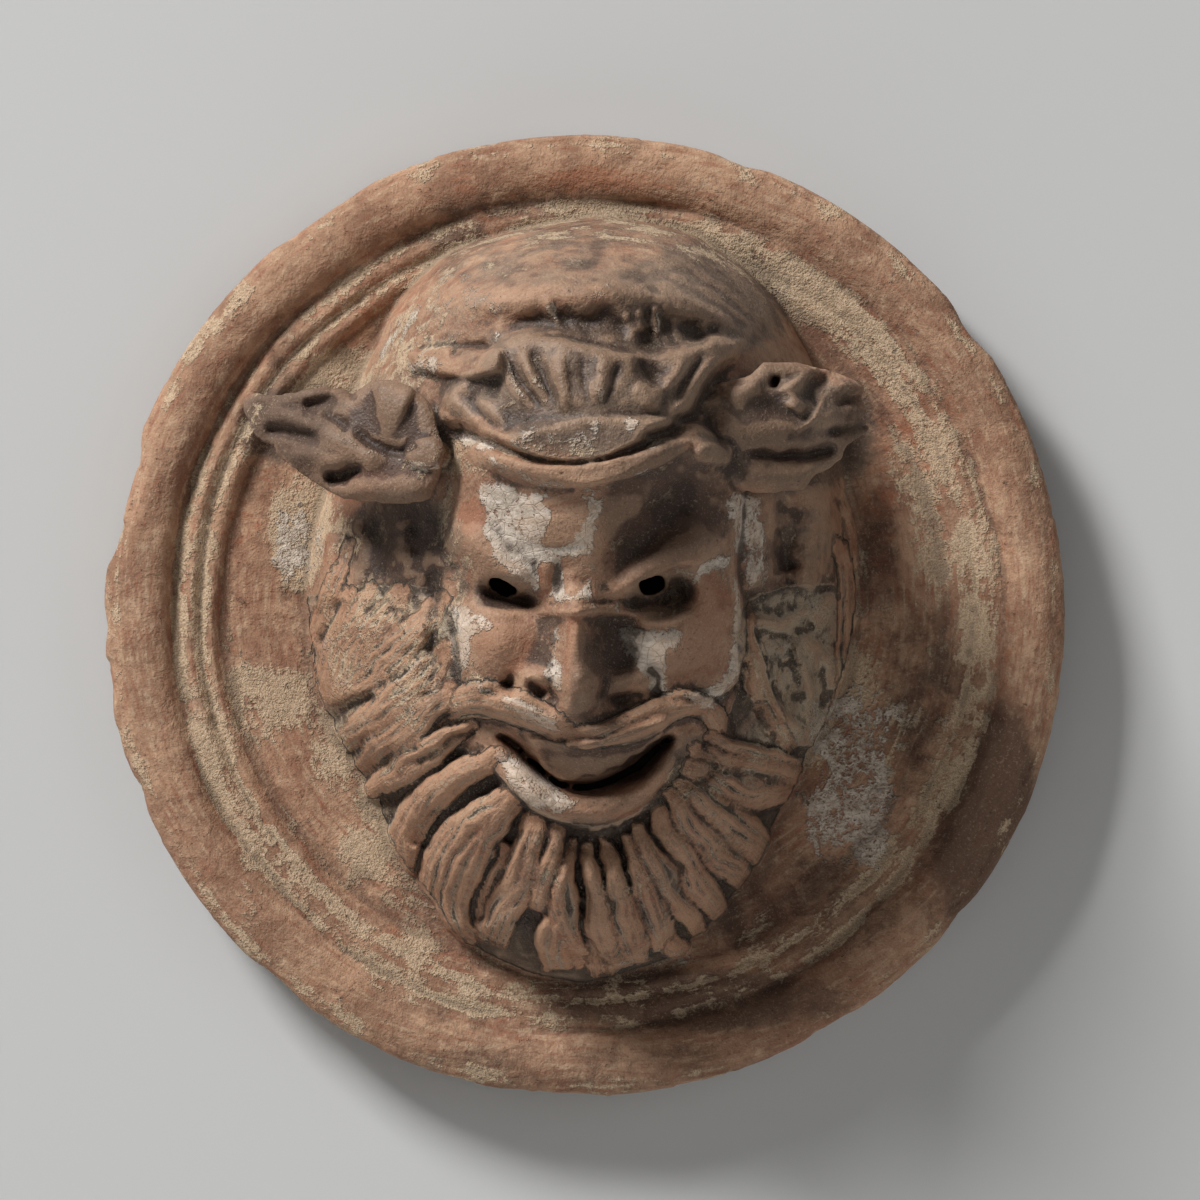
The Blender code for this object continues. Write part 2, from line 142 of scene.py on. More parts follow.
def thrown_disc():
    """The disc as a closed ring: a section of radius and height carried once round the middle.
    The section runs from the hole out over the rim to the back, and its radii waver with the
    turn as sums of slow sines. Returns millimetres, with the height last, and quads."""
    turn = np.linspace(-180, 180, 720, endpoint=False)
    angle = np.radians(turn)[:, None]
    hole = eased(*zip(*HOLE_REACH), turn)[:, None]
    share = np.linspace(0, 1, 10)[None, :-1]
    radius, height = np.transpose(RIM_SECTION)
    inner = hole + (radius[0] - hole) * share
    inner_height = 18 - 1.2 * step(150, 60, inner) + 0.4 * np.sin(3 * angle + inner / 30)
    waver = 1.1 * np.sin(angle + 0.6) + 0.7 * np.sin(3 * angle)
    waver = waver + 0.5 * np.sin(7 * angle + 2) + 0.3 * np.sin(16 * angle)
    around = turn % 360
    chip = sum(deep * step(a - 3, a + 1, around) * step(b + 3, b - 1, around) for a, b, deep in RIM_CHIPS)
    outer = radius[None, :] + waver * step(150, 156, radius) * step(194, 188, radius)
    outer = outer - step(186, 200, radius) * (chip[:, None] + 0.4 + 0.4 * np.sin(5 * angle + 1))
    full = eased(*zip(*RING_FULLNESS), turn)
    uneven = 0.22 * np.sin(5 * angle + radius / 3) + 0.18 * np.sin(11 * angle + radius / 2 + 1)
    uneven = uneven + 0.12 * np.sin(23 * angle)
    plain = np.interp(radius, *zip(*EVEN_SECTION))
    wanted = plain + (height - plain) * np.clip(full[:, None] + uneven, 0.1, 1.7)
    outer_height = np.where(radius < 177, wanted, height)
    outer_height = outer_height + 0.4 * np.sin(2 * angle + radius / 9) * (height > 15)
    back = np.broadcast_to(hole, (len(turn), 1))
    r = np.hstack([inner, outer, back])
    h = np.hstack([inner_height, outer_height, np.zeros_like(back)])
    spots = np.stack([r * np.cos(angle), r * np.sin(angle), h], axis=-1).reshape(-1, 3)
    ring = np.arange(len(spots)).reshape(r.shape)
    across, along = np.roll(ring, -1, axis=1), np.roll(ring, -1, axis=0)
    both = np.roll(across, -1, axis=0)
    quads = np.stack([ring, across, both, along], axis=-1).reshape(-1, 4)
    return spots, quads


# The mask was pressed on in wet clay: a plain swelling head first, then the face. It is drawn on
# an upright sheet through the disc's face, as it is seen from the camera, and each point of the
# sheet is raised towards the camera. SHEET is the spacing of the drawing in millimetres, and
# HEAD_OUTLINE has rows of a level on the sheet, the head's left and right there, and its height.
SHEET = 0.9
HEAD_OUTLINE = (
    (-153.4, -1.2, 2.1, 0), (-149.3, -24.8, 19.5, 16), (-143.1, -42.7, 40.2, 30),
    (-132.7, -55.9, 52.6, 47), (-118.2, -65, 65, 60), (-105.8, -75.4, 73.3, 69),
    (-87.2, -86.1, 82, 80), (-60.3, -98.6, 94, 90), (-35.4, -111, 104.8, 95),
    (-10.6, -115.5, 112.2, 98), (6, -117.2, 113.9, 99), (30.9, -114.7, 113.9, 108),
    (59.8, -106.4, 108.1, 116), (88.8, -97.3, 100.6, 122), (113.7, -86.1, 89.9, 122),
    (130.2, -77.4, 79.9, 117), (140.6, -68.3, 70, 106), (150.9, -55.1, 56.7, 84),
    (158.4, -33.1, 43.5, 56), (162.5, -14.5, 29, 28), (165.8, 4.6, 8.7, 2),
)
FIELD = 18.0
u, v = np.meshgrid(np.arange(-146, 126, SHEET), np.arange(-160, 172, SHEET))


def to_space(spots):
    """Millimetres on the sheet, with a height in front of the disc's back, to metres in the part's
    frame: each point slides along its line to the camera until it has its height."""
    x, y, height = np.moveaxis(spots, -1, 0) / 1000
    share = (CAMERA_REACH + FACE_PLANE - height) / CAMERA_REACH
    across = CAMERA_AIM[0] + (x - CAMERA_AIM[0]) * share
    up = CAMERA_AIM[1] + (y - CAMERA_AIM[1]) * share
    return np.stack([across, -height, DISC_MIDDLE + up], axis=-1)


def head_form(x, y, inset=0.0):
    """Height of the plain head over the field. Across each level it is the middle's height times
    (1 - a^2.2) to a power, where a is the share of the half width; inset moves it all inwards."""
    rows, lefts, rights, heights = zip(*HEAD_OUTLINE)
    low, high = rows[0], rows[-1]
    middle = (low + high) / 2
    level = middle + (y - middle) * (high - low) / (high - low - 2 * inset)
    left = eased(rows, lefts, level)
    right = eased(rows, rights, level)
    half = np.maximum((right - left) / 2 - inset, 1)
    share = np.clip(np.abs(x - (left + right) / 2) / half, 0, 1)
    top = eased(rows, heights, level) - inset
    power = eased((low, -60, 60, 110, high), (1.0, 0.8, 0.75, 0.62, 0.55), level)
    form = (top + 9) * (1 - share**2.2) ** power - 9
    return np.where((level <= low) | (level >= high), -9, form)


def drawn_line(points, count=26):
    """A smooth line through a few points: each coordinate eased along the chord length."""
    points = np.asarray(points, float)
    chord = np.concatenate([[0], np.cumsum(np.hypot(*np.diff(points[:, :2], axis=0).T))])
    at = np.linspace(0, chord[-1], count)
    return np.stack([eased(chord, column, at) for column in points.T], axis=1)


def on_paper(size, layer):
    """Noise of the given size in millimetres over the sheet; each layer has its own pattern."""
    return noise(np.stack([u, v, u * 0 + layer], -1), size)


WANDER = np.stack([on_paper(13.0, layer) + 0.45 * on_paper(5.0, layer) for layer in (3, 90)])


def beside(points, widths, sway=0.4):
    """For every spot of the sheet: how far along the nearest line it is from 0 to 1, its distance to
    the side of the line in half widths, and that half width. Lines wander by sway millimetres, and
    spots further off than two and a half half widths are given a side of 9."""
    line = drawn_line(points)
    share = np.linspace(0, 1, len(line))
    half = eased(np.linspace(0, 1, len(widths)), widths, share)
    reach = 2.6 * max(widths) + sway
    rows = slice(*np.searchsorted(v[:, 0], (line[:, 1].min() - reach, line[:, 1].max() + reach)))
    columns = slice(*np.searchsorted(u[0], (line[:, 0].min() - reach, line[:, 0].max() + reach)))
    x = u[rows, columns] + sway * WANDER[0][rows, columns]
    y = v[rows, columns] + sway * WANDER[1][rows, columns]
    best = np.full(x.shape, np.inf)
    along, side, width = np.zeros(x.shape), np.zeros(x.shape), np.ones(x.shape)
    for k in range(len(line) - 1):
        dx, dy = line[k + 1] - line[k]
        px, py = x - line[k, 0], y - line[k, 1]
        t = np.clip((px * dx + py * dy) / (dx * dx + dy * dy), 0, 1)
        gap = np.hypot(px - t * dx, py - t * dy)
        here = gap < best
        best = np.where(here, gap, best)
        along = np.where(here, share[k] + t * (share[k + 1] - share[k]), along)
        width = np.where(here, half[k] + t * (half[k + 1] - half[k]), width)
        side = np.where(here, np.sign(dx * py - dy * px) * gap, side)
    width = np.maximum(width, 0.3)
    everywhere = np.zeros(u.shape), np.full(u.shape, 9.0), np.ones(u.shape)
    for whole, part in zip(everywhere, (along, side / width, width)):
        whole[rows, columns] = part
    return everywhere


def inside(points, rounds=0):
    """Signed distance to a closed outline, positive inside: the distance to its nearest edge, with
    the sign from how many edges a line to the right crosses."""
    outline = np.asarray(points, float)
    if rounds:
        outline = drawn_line(np.vstack([outline, outline[:1]]), rounds)[:-1]
    after = np.roll(outline, -1, axis=0)
    nearest = np.full(u.shape, np.inf)
    crossings = np.zeros(u.shape, int)
    for (ax, ay), (bx, by) in zip(outline, after):
        dx, dy = bx - ax, by - ay
        t = np.clip(((u - ax) * dx + (v - ay) * dy) / (dx * dx + dy * dy + 1e-9), 0, 1)
        nearest = np.minimum(nearest, np.hypot(u - ax - t * dx, v - ay - t * dy))
        if dy:
            meets = ((ay > v) != (by > v)) & (u < ax + (v - ay) / dy * dx)
            crossings += meets
    return np.where(crossings % 2 == 1, nearest, -nearest)


def ridge(form, points, widths, rise, power=2.0, ends=0.12, sway=0.4):
    """Adds a raised line, or with a negative rise a groove: rise times exp(-side^power), fading
    towards both ends."""
    along, side, _ = beside(points, widths, sway)
    fade = step(0, ends, along) * step(1, 1 - ends, along) if ends else 1.0
    return form + rise * np.exp(-np.abs(side) ** power) * fade


def lump(form, middle, spread, rise):
    """Adds a round swelling, or with a negative rise a hollow: a bell round its middle."""
    return form + rise * np.exp(-(((u - middle[0]) / spread[0]) ** 2 + ((v - middle[1]) / spread[1]) ** 2))


def plateau(form, points, rise, edge, rounds=60):
    """Raises an outlined area by a fixed amount, with a sloping edge of the given width."""
    return form + rise * step(-edge / 2, edge / 2, inside(points, rounds))


FACE = (
    (-47.6, 72.3), (-50.9, 55.7), (-53.4, 39.1), (-55.9, 22.6), (-57.6, -2.3), (-56.7, -27.1),
    (-35.2, -43.7), (0, -52), (39.3, -43.7), (52.6, -35.4), (63.4, -27.1), (66.7, -4.3),
    (62.5, 18.4), (64.2, 39.1), (65, 59.8), (57.6, 72.3), (2.1, 80.5),
)
plain = head_form(u, v)
head = plain.copy()
edge_width = np.interp(u, (-45, 45), (24, 3.5))
face_edge = inside(FACE, 90)
head += 13 * step(-0.5, 0.5, face_edge / edge_width) - 3
for middle, spread, rise in (
    ((5, 47.4), (29, 24.8), 3.0), ((-18.6, 39.1), (16.6, 16.6), 3.0),
    ((-36.4, -10.6), (14.9, 14.1), 9.5), ((49.3, 1), (14.9, 21.5), 9.0),
    ((33.1, -16.8), (12.4, 10.8), 3.0), ((0, -49.9), (24.8, 16.6), 8.0),
):
    head = lump(head, middle, spread, rise)
head = ridge(head, ((5, 76.4), (3.7, 39.1), (2.9, -2.3)), (43.5, 38.1, 18.2), 9.0, 1.5, 0.05)
for points, widths, rise in (
    (((-57.6, 43.3), (-47.6, 30.9), (-33.5, 18.4), (-16.6, 6.8)), (6.2, 7.5, 7, 4.6), 9.0),
    (((5.4, 5.2), (17, 10.1), (30.2, 20.1), (47.6, 28.4), (63.4, 32.5)), (4.6, 6.6, 7.5, 7.9, 5.8), 8.0),
    (((7.9, 14.3), (22.8, 32.5), (42.7, 49.9), (54.2, 57.4)), (5.8, 8.3, 9.9, 8.3), -7.0),
    (((22.8, 39.1), (34.4, 47.4), (47.6, 58.2)), (3.7, 5, 4.1), -2.5),
    (((-46, 11.8), (-33.5, 8.1), (-16.6, 3.1)), (3.7, 5.4, 3.3), -13.0),
    (((49.3, 11.8), (32.7, 8.9), (21.1, 6), (11.2, 3.1)), (5.8, 7, 4.6, 2.5), -14.0),
    (((-44.3, 2.7), (-34, 0.2), (-20.3, 2.3)), (1.7, 2.1, 1.7), 3.0),
    (((17.8, -1), (31.1, -3.1), (45.1, 1.4)), (1.7, 2.1, 1.7), 3.0),
    (((26.9, 18.4), (39.3, 21.7), (52.6, 23.8)), (1.2, 1.4, 1.2), 2.5),
    (((-50.9, 27.5), (-50.1, 14.3), (-50.9, 1.9)), (5.4, 6.6, 5), -4.0),
    (((-16.6, 24.2), (-16.6, 7.7)), (3.3, 2.9), 2.6),
    (((-5.8, 20.1), (-5.4, 6)), (3.7, 3.3), 2.0),
    (((-11.2, 24.2), (-10.8, 6)), (1.7, 1.7), -1.4),
    (((-29, 30.4), (-10.4, 27.1), (7, 29.6)), (1.2, 1.2, 1.2), -1.0),
    (((-39.3, 44.9), (-18.6, 42.4), (2.1, 45.3)), (1.7, 1.7, 1.7), -0.6),
    (((-19.5, 4.8), (-4.1, 3.9), (6.2, 5.2), (22.8, 6.8)), (1, 1.2, 1.2, 1), -2.2),
    (((-26.9, -23.8), (-35.2, -31.3), (-47.6, -32.9)), (2.1, 2.5, 2.1), -4.0),
    (((22.8, -25.5), (29, -32.9), (43.5, -35.4), (52.6, -37.9)), (2.1, 2.5, 2.1, 1.7), -4.0),
):
    head = ridge(head, points, widths, rise, 2.0, 0.3)
for points, widths, rise in (
    (((-4.6, 16.4), (-3.7, -2.3), (-2.9, -23), (-1.2, -42)), (7.5, 10.4, 12.4, 12.8), 14.0),
    (((-4.6, 14.3), (-3.7, -6.4), (-2.5, -25.1), (-1.2, -40.4)), (4.6, 5.8, 7.5, 8.3), 7.0),
):
    head = ridge(head, points, widths, rise, 2.0, 0.3)
for middle, spread, rise in (
    ((-1.7, -35.4), (9.5, 7.9), 7.0), ((-21.9, -28), (7, 6.6), 8.5), ((18.6, -28), (8.3, 5.8), 8.0),
    ((-6.2, -40.4), (8.3, 4.1), 2.0),
):
    head = lump(head, middle, spread, rise)
for points, widths, rise in (
    (((-25.3, -27.1), (-21.1, -29.6), (-16.1, -34.6)), (1.7, 2.5, 2.1), -7.0),
    (((7.9, -33.7), (12, -35.4), (18.6, -33.7), (25.3, -32.1)), (1.2, 2.1, 1.7, 1.2), -5.0),
    (((-15.3, -23.8), (-13.7, -31.3), (-10.4, -37.1)), (1.7, 2.1, 1.7), -3.0),
    (((8.7, -23.8), (7.9, -30.4), (5.4, -36.2)), (1.7, 2.1, 1.7), -2.5),
    (((-30.2, -22.2), (-31.9, -28.8), (-29.4, -35.4)), (1.7, 2.1, 1.7), -4.0),
    (((24.4, -20.5), (29.4, -26.3), (28.6, -32.9)), (2.1, 2.5, 1.7), -4.0),
):
    head = ridge(head, points, widths, rise, 2.0, 0.25)

# The mouth: a heavy moustache in two halves, the upper lip or teeth as a smooth scalloped slab, a
# gap cut right through the clay, and a full lower lip. The eyes are pierced too.
LIP_SLAB = (
    (-24.4, -50.3), (-10.4, -52.8), (6.2, -52), (22.8, -46.2), (34.4, -42), (31.9, -50.3),
    (26.9, -53.6), (23.2, -56.9), (18.6, -58.6), (15.3, -62.3), (9.5, -63.2), (5.8, -66.5),
    (0.4, -66), (-4.6, -68.5), (-11.2, -68.1), (-17.8, -63.6),
)
MOUTH_GAP = (
    (-37.7, -48.7), (-30.2, -53.6), (-21.9, -61.1), (-12, -68.9), (-0.4, -71.4), (11.2, -68.9),
    (21.9, -62.3), (30.2, -54.9), (38.5, -48.7),
)
MOUTH_WIDTHS = (1, 1.9, 2.1, 2.3, 2.7, 3.3, 4.1, 3.3, 1.2)
LEFT_PUPIL = ((-40.2, 15.5), (-36.4, 15.5), (-29, 11.4), (-28.2, 8.5), (-34, 8.1), (-38.1, 11))
RIGHT_PUPIL = ((22.4, 13.5), (26.9, 15.1), (31.9, 16.4), (33.1, 11), (29.4, 9.3), (23.6, 8.5))
head = plateau(head, LIP_SLAB, 6.5, 2.5, 0)
MOUTH_HOLLOW = (
    (-46, -44.5), (-33.1, -52.8), (-20.7, -62.7), (-10.4, -71.4), (4.1, -73.9), (18.6, -66.9),
    (34.4, -53.6),
)
head = ridge(head, MOUTH_HOLLOW, (3.3, 5.4, 6.6, 7.5, 7.5, 7.5, 5.8), -8.0)


COMB = np.zeros((3,) + u.shape)


def lock(form, ground, points, widths, rise, strands=3, depth=1.0, turn=0.0, sway=1.3):
    """Lays a lock of hair: the higher of what is there and ground + rise * (1 - |side|^2.4)^0.6, less
    depth * (1 - cord), where cord is |sin|^1.25 over as many half waves as it has strands,
    bent by noise drawn out along the lock. COMB keeps, for the finish, how far each spot lies
    across and along its lock in millimetres, and 0.2 in a groove to 1 on a strand."""
    along, side, width = beside(points, widths, sway)
    body = np.clip(1 - np.abs(side) ** 2.4, 0, 1) ** 0.6
    body = body * step(1.0, 0.8, along) ** 0.6 * step(-0.06, 0.3, along) ** 0.6
    length = np.hypot(*np.diff(drawn_line(points), axis=0).T).sum()
    place = np.stack([along * length / 26, side * width / 6, u * 0 + 10 * rise + turn], -1)
    bend = noise(place, 1.0)
    cord = np.abs(np.sin(math.pi / 2 * (strands * (side + 1) + 1.7 * bend * (strands > 1)))) ** 1.25
    cord = 1 - (1 - cord) * (0.75 + 0.4 * bend) * step(0.02, 0.16, along)
    raised = ground + rise * body * (1 + 0.12 * bend) - depth * (1 - cord) * np.sqrt(body)
    laid = (np.abs(side) < 1) & (raised > form)
    level = 0.2 + 0.8 * np.clip(cord, 0, 1)
    COMB[:, laid] = np.stack([side * width, along * length + 50 * rise + 9 * turn, level])[:, laid]
    return np.where(laid, raised, form)


for points, widths in (
    (((-6.2, -50.3), (-19.5, -42), (-32.7, -36.6), (-45.6, -35), (-57.1, -38.7), (-69.2, -47.8),
     (-79.9, -56.9)), (5.4, 7.5, 7.9, 7.5, 6.2, 5, 2.9)),
    (((-4.1, -51.1), (10.4, -49.1), (26.1, -43.3), (40.2, -36.6), (50.9, -38.7), (57.1, -48.7),
     (60, -56.9)), (5.4, 6.2, 7, 7, 5.8, 5, 2.9)),
):
    head = lock(head, head - 1.0, points, widths, 10.0, 4, 2.2, 0.3, 0.8)
whiskered = COMB.copy()
LOWER_LIP = (
    (-42.7, -56.9), (-30.2, -66.5), (-14.5, -76.8), (4.1, -79.7), (21.1, -72.7), (31.9, -62.3),
    (39.3, -52),
)
LOWER_LIP_WIDTHS = (4.1, 8.3, 9.1, 8.7, 7.5, 6.2, 3.3)
head = lock(head, head - 1.5, LOWER_LIP, LOWER_LIP_WIDTHS, 15.5, 1, 0.0, 0.0, 0.5)

COMB[:] = whiskered
# The beard: thick locks fanned round the mouth, each with a few strands drawn in it, over a ground
# that is pressed lower so that dark gaps stay between them. The side whiskers are laid the same way.
BEARD_AREA = (
    (-118, 6), (-60, 6), (-53.8, -35.4), (-60, -49.9), (-43.5, -60.3), (-18.6, -83), (6.2, -89.2),
    (31.1, -76.8), (47.6, -60.3), (64.2, -35.4), (66.3, 1.9), (122.2, 6), (122.2, -68.5),
    (72.5, -155.5), (-68.3, -155.5), (-118, -76.8),
)
head -= 1.0 * step(-4, 4, inside(BEARD_AREA, 90))
ground = plain + 0.5 + 1.0 * WANDER[0]
COMB[2] = np.maximum(COMB[2], 0.55 * step(-3, 3, inside(BEARD_AREA, 90)))
WHISKERS = (
    (-110.6, 6), (-97.3, 22.6), (-55.1, 22.6), (-47.6, -10.6), (-50.9, -35.4), (-60, -52),
    (-79.9, -58.6), (-97.3, -55.3), (-108.9, -39.5),
)
ground += 6.0 * step(-9, 9, inside(WHISKERS, 60))
head = np.maximum(head, ground)
beneath = head.copy()
for points, widths, rise, strands in (
    (((-97.3, 30.9), (-102.3, 14.3), (-110.6, -2.3), (-115.5, -14.7)), (2.9, 4.1, 3.7, 2.1), 5, 2),
    (((-96.5, 10.1), (-103.1, -4.3), (-110.6, -16.8)), (3.3, 4.6, 2.5), 4.5, 2),
    (((-88.2, 12.2), (-97.3, -4.3), (-107.3, -22.2), (-111.4, -31.3)), (3.7, 5.8, 5.4, 2.5), 4.5, 3),
    (((-74.5, 11), (-85.7, -3.1), (-97.3, -16.8), (-108.1, -35.4)), (4.6, 7, 7, 3.3), 4.5, 4),
    (((-59.2, 6.8), (-72.5, -7.2), (-84.9, -18.8), (-99.4, -30.4), (-107.3, -37.1)),
     (5.4, 7.9, 7.9, 5.4, 2.5), 5, 4),
    (((-56.7, -14.7), (-70.4, -27.1), (-84.9, -40.4), (-97.3, -50.3), (-103.9, -55.3)),
     (6.2, 8.7, 8.7, 6.2, 2.9), 7, 4),
    (((-55.1, -31.3), (-68.3, -41.6), (-82.8, -52.8), (-95.7, -64.4)), (5.4, 7.5, 7.5, 3.3), 7.5, 4),
    (((-47.6, -45.8), (-60, -52.8), (-74.5, -62.3), (-89, -72.7), (-94, -77.6)),
     (4.6, 6.6, 7.5, 5.4, 2.5), 11, 4),
    (((-35.2, -59.4), (-50.9, -65.2), (-64.2, -74.7), (-73.3, -89.2), (-76.6, -105.8), (-73.3, -115.7)),
     (4.1, 6.6, 7.9, 7.9, 6.2, 2.5), 12, 4),
    (((-26.1, -71.8), (-40.2, -84.3), (-53.4, -100), (-57.6, -116.2), (-53.4, -130.6), (-45.1, -137.3)),
     (6.6, 10.8, 12.4, 11.6, 7.5, 3.3), 14, 5),
    (((-21.1, -85.9), (-24.8, -103.3), (-34, -120.3), (-38.5, -138.1)), (6.2, 8.7, 9.5, 5), 10.5, 4),
    (((-12, -88.4), (-14.5, -105.8), (-18.6, -123.2)), (4.1, 5.4, 3.7), 11, 2),
    (((-12, -123.2), (-12, -136.4), (-9.5, -148.9)), (5, 7.9, 5), 12.5, 2),
    (((-5.4, -95.5), (-8.7, -112), (-7, -130.6), (0, -147.2)), (3.7, 5.4, 6.2, 3.3), 12, 3),
    (((1.2, -97.5), (4.6, -118.2), (9.5, -136.9), (15.3, -148.9)), (3.3, 4.6, 5.8, 3.7), 11.5, 3),
    (((8.7, -95.5), (13.7, -114.1), (18.6, -130.6), (22.8, -145.6)), (3.7, 5, 6.2, 3.7), 11, 3),
    (((17.8, -92.6), (23.6, -109.9), (29.4, -126.5), (32.7, -140.6)), (3.7, 5.4, 6.2, 3.7), 11, 3),
    (((22.8, -88.4), (30.2, -105), (39.3, -120.3), (47.6, -132.3)), (4.1, 5.8, 6.2, 3.3), 12, 3),
    (((29.4, -81.8), (40.2, -98.3), (49.3, -114.1), (58.4, -127.3)), (4.1, 6.2, 6.6, 3.3), 12.5, 3),
    (((36, -74.7), (47.6, -90.1), (58.4, -102.5), (66.7, -110.8)), (4.6, 7.5, 8.3, 3.7), 12, 3),
    (((40.2, -69.4), (54.2, -81.8), (67.5, -93.4), (78.3, -101.7)), (4.6, 8.3, 9.9, 5), 13, 4),
    (((43.5, -62.3), (59.2, -70.6), (74.1, -74.7), (86.5, -73.5)), (4.6, 6.6, 7, 3.3), 12, 3),
    (((47.6, -56.1), (63.4, -61.9), (78.7, -65.2), (90.7, -67.7)), (4.1, 5.8, 5.8, 2.9), 11, 3),
    (((52.6, -49.9), (66.3, -55.3), (78.7, -59), (88.2, -61.9)), (3.7, 4.6, 4.6, 2.1), 10, 2),
    (((66.7, 1.9), (69.2, -18.8), (74.1, -37.5), (84.9, -55.3)), (3.3, 5, 5.4, 2.5), 6, 1),
    (((104.8, 28.8), (108.1, 10.1), (109.7, -10.6), (108.9, -31.3), (103.1, -48.7)),
     (3.7, 4.6, 4.6, 4.1, 2.1), 6, 2),
    (((-33.1, -97.5), (-38.5, -114.1), (-43.5, -130.6)), (3.3, 5, 3.3), 8, 2),
    (((6.2, -130.6), (4.6, -141), (6.2, -150.5)), (3.3, 5, 3.3), 8, 1),
    (((29, -130.6), (34.4, -136.9), (43.5, -141)), (3.3, 4.1, 2.5), 7, 1),
):
    narrowed = 1.2 * np.array(widths) * np.linspace(0.62, 1, len(widths)) ** 0.7
    head = lock(head, ground, points, narrowed, rise - 1.5, strands + 1, 4.0, 0.3 * strands, 1.9)
gaps = (head == beneath) & (inside(BEARD_AREA, 90) > 0) & (v < -54)
head = head - 4.0 * gaps
COMB[2] = np.where(gaps, 0.35, COMB[2])
RIGHT_WHISKERS = (
    (66.7, -1.4), (76.6, -0.6), (87.8, -7.2), (100.2, -13), (110.2, -17.2), (106.4, -32.5),
    (99, -45.3), (91.9, -55.3), (87.4, -60.3), (82, -56.1), (74.1, -51.1), (69.2, -39.5),
    (66.7, -21.3),
)
head = plateau(head, RIGHT_WHISKERS, 4.0, 4.0)
for points, widths, rise in (
    (((68.3, -10.6), (71.2, -23.8), (75.8, -33.7), (83.2, -42.9), (94, -50.3)),
     (1.2, 1.7, 1.7, 1.7, 1.2), 4.5),
    (((73.3, -28), (78.3, -37.1), (84.9, -45.3), (89.9, -52)), (0.8, 1.2, 1.2, 0.8), 3.0),
    (((84.9, -7.2), (90.7, -20.5), (93.2, -29.6), (95.7, -37.9)), (1.2, 1.7, 1.7, 1.2), 4.5),
    (((78.3, -10.6), (83.2, -23), (88.2, -33.7)), (0.8, 1.2, 0.8), 2.0),
    (((99, -13.9), (102.7, -22.6), (103.9, -32.9)), (1.2, 1.7, 1.2), 3.5),
    (((109.7, -17.2), (103.1, -37.9), (90.7, -58.6)), (1.2, 1.7, 1.2), 3.0),
    (((79.1, -14.7), (84.9, -28), (89.9, -40.4)), (2.9, 3.7, 2.5), -4.0),
    (((97.3, -20.5), (99, -31.3), (96.5, -42)), (2.5, 2.9, 2.1), -3.5),
    (((68.3, -30.4), (73.3, -42.9), (81.6, -52.8)), (2.1, 2.9, 2.1), -4.5),
):
    head = ridge(head, points, widths, 1.4 * rise, 2.0, 0.25, 1.2)
for points, widths, rise in (
    (((-105.6, -46.2), (-99.4, -39.5), (-86.5, -32.9)), (3.3, 3.7, 2.1), -7.0),
    (((-110.6, -12.6), (-104.8, -3.1), (-99, 6.8)), (2.1, 2.9, 2.1), -5.0),
    (((-97.3, -66.9), (-88.2, -62.7), (-78.3, -55.3)), (2.1, 2.5, 1.7), -5.0),
    (((-71.6, -61.1), (-60, -54.5), (-44.3, -47)), (1.7, 2.1, 1.7), -5.0),
    (((-70, -98.3), (-68.3, -90.1), (-58.4, -79.3)), (3.3, 3.3, 2.1), -6.0),
    (((-86.5, -76.8), (-77.4, -76.8), (-71.6, -72.7)), (3.3, 3.3, 2.1), -5.0),
    (((-43.5, -129.8), (-40.2, -116.2), (-33.5, -102.5)), (3.3, 3.7, 2.5), -6.0),
    (((-21.9, -120.3), (-23.6, -130.6), (-21.9, -141)), (2.1, 2.5, 2.1), -4.0),
    (((-10.4, -92.6), (1.2, -97.5), (17, -92.6)), (5.8, 6.6, 5), -6.0),
    (((47.6, -52.8), (53.4, -60.3), (47.6, -70.6)), (2.1, 2.1, 2.1), -3.0),
    (((58.4, -79.3), (66.7, -81.8), (77.4, -81.8)), (1.2, 1.2, 1.2), -4.0),
):
    head = ridge(head, points, widths, rise, 2.0, 0.12, 1.6)

